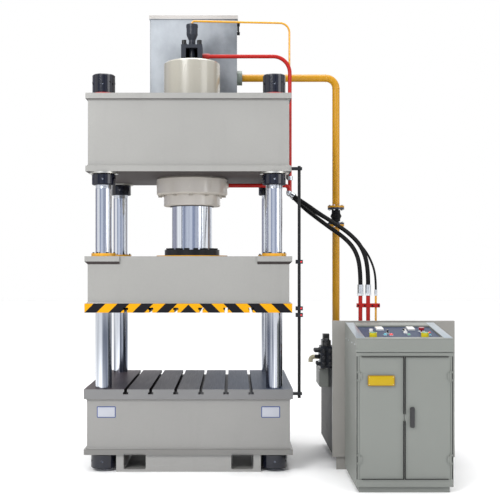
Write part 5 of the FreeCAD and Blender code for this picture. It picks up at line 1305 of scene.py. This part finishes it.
make_piece("tank_corner_seams", [corner_seam(x, y) for x in (FILL_LOW.x, FILL_HIGH.x) for y in (FILL_LOW.y,
                                                                                                FILL_HIGH.y)],
           "tank_silver")
fill_half = (FILL_HIGH - FILL_LOW) / 2
points, faces = weld_loop(fill_half.x, fill_half.y, 0.0, 0.005)
shift = np.array([0, FILL_LOW.y + fill_half.y, FILL_LOW.z + SEAT])
make_piece("tank_foot_weld", [(points + shift, faces)], "tank_silver")
GAUGE_ROW, GAUGE_LOW, GAUGE_HIGH = FILL_LOW.y + 0.060, 3.380, 3.452
make_piece("tank_gauge_blocks", [plate((FILL_HIGH.x, GAUGE_ROW, z), RIGHT, 0.034, 0.022, 0.026, 0.004, 0.002)
                                 for z in (GAUGE_LOW, GAUGE_HIGH)], "screw_black")
tube_run = [(FILL_HIGH.x + 0.014, GAUGE_ROW, z) for z in np.linspace(GAUGE_LOW, GAUGE_HIGH, 12)]
make_piece("tank_gauge_tube", [swept(tube_run, 0.0075, 16)], "matt_black")
make_piece("tank_lid_screws", [hexagon((x, y, LID_HIGH.z - 0.004), UP, 0.016,
                                       0.0035) for x in np.linspace(-0.33, 0.33, 5)
                               for y in (LID_LOW.y + 0.016, LID_HIGH.y - 0.016)], "zinc")

# %% Pipe flanges and elbow rings
JOINT, JOINT_MIDDLE, BOLT_CIRCLE = (1.165, 0.350), 1.887, 0.055
joint_bolts = []
for low, high in ((1.803, 1.833), (1.941, 1.971)):
    for angle in math.pi / 4 * (np.arange(8) + 0.5):
        x, y = JOINT[0] + BOLT_CIRCLE * math.cos(angle), JOINT[1] + BOLT_CIRCLE * math.sin(angle)
        joint_bolts += [hexagon((x, y, high), UP, 0.015, 0.008),
                        hexagon((x, y, low), (0, 0, -1), 0.015, 0.008)]
make_piece("joint_bolts", joint_bolts, "zinc")
half_turn = np.linspace(-np.pi / 2, np.pi / 2, 9)
arch = np.column_stack([0.0415 + 0.0045 * np.cos(half_turn), 0.007 * np.sin(half_turn)])
make_piece("joint_arch_ring", [turned((*JOINT, JOINT_MIDDLE), UP, arch, 64)], "bellows_rubber")
PIPE_HIGH, PIPE_WELD = 3.019, [(0.0298, -0.004), (0.0318, -0.002), (0.0322, 0), (0.0318, 0.002),
                               (0.0298, 0.004)]
weld_rings = [((1.080, JOINT[1], PIPE_HIGH), TO_RIGHT), ((*JOINT, 2.934), UP), ((*JOINT, 0.709), UP),
              ((0.720, JOINT[1], PIPE_HIGH), TO_RIGHT)]
make_piece("return_pipe_welds", [turned(spot, axis, PIPE_WELD, 40, lambda a: 1 + 0.012 * np.cos(18 * a))
                                 for spot, axis in weld_rings], "ochre")

# %% [markdown]
# ## Hose ends
# A hose is crimped into a ferrule: a turned sleeve with deep rings. The same ferrule turns up at
# both ends of each hose, laid along the hose's own first and last direction, and at the riser a
# hexagon follows it.

# %% Ferrules and hexagons
def ferrule(centre, direction, hose, length):
    """A sleeve whose radius dips in evenly spaced crimp rings."""
    along = np.linspace(0, length, 41)
    radius = hose * 0.69 - hose * 0.05 * (np.sin(along / length * 7 * np.pi) ** 2 > 0.6)
    profile = [(hose * 0.50, 0), *zip(radius, along), (hose * 0.50, length)]
    return turned(centre, direction, profile, 32)


ferrules, hexes = [], []
SHORT_FERRULE = 0.030
for hose, route in HOSE_ROUTES.values():
    first, second, last = (np.array(route[place]) for place in (0, 1, -1))
    ahead = (second - first) / np.linalg.norm(second - first)
    ferrules.append(ferrule(first - ahead * SHORT_FERRULE, ahead, hose, SHORT_FERRULE))
    tall = 0.076 if hose > 0.02 else 0.040
    ferrules.append(ferrule(last - (0, 0, tall), UP, hose, tall))
    nut = [(hose * 0.45, 0), (hose * 0.78, 0.0), (hose * 0.80, 0.002), (hose * 0.80, hose * 0.6),
           (hose * 0.5, hose * 0.62)]
    hexes.append(turned(last - (0, 0, tall + 0.004), UP, nut, 6))
make_piece("hose_ferrules", ferrules, "zinc")
make_piece("riser_hexagons", hexes, "zinc")
clamp_low, clamp_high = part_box("pipe_clamp")
make_piece("clamp_screws", [hexagon((x, clamp_low.y, (clamp_low.z + clamp_high.z) / 2), TO_FRONT, 0.013,
                                    0.008)
                            for x in (1.2435, 1.2915, 1.3485, 1.3965)], "screw_black")


# %% [markdown]
# ## The last lines
# The box of the finished model is printed, because dressing must not make the machine bigger.

# %% Sizes and finish
low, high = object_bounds()
print("model box", [round(value, 3) for value in (*low, *high)])
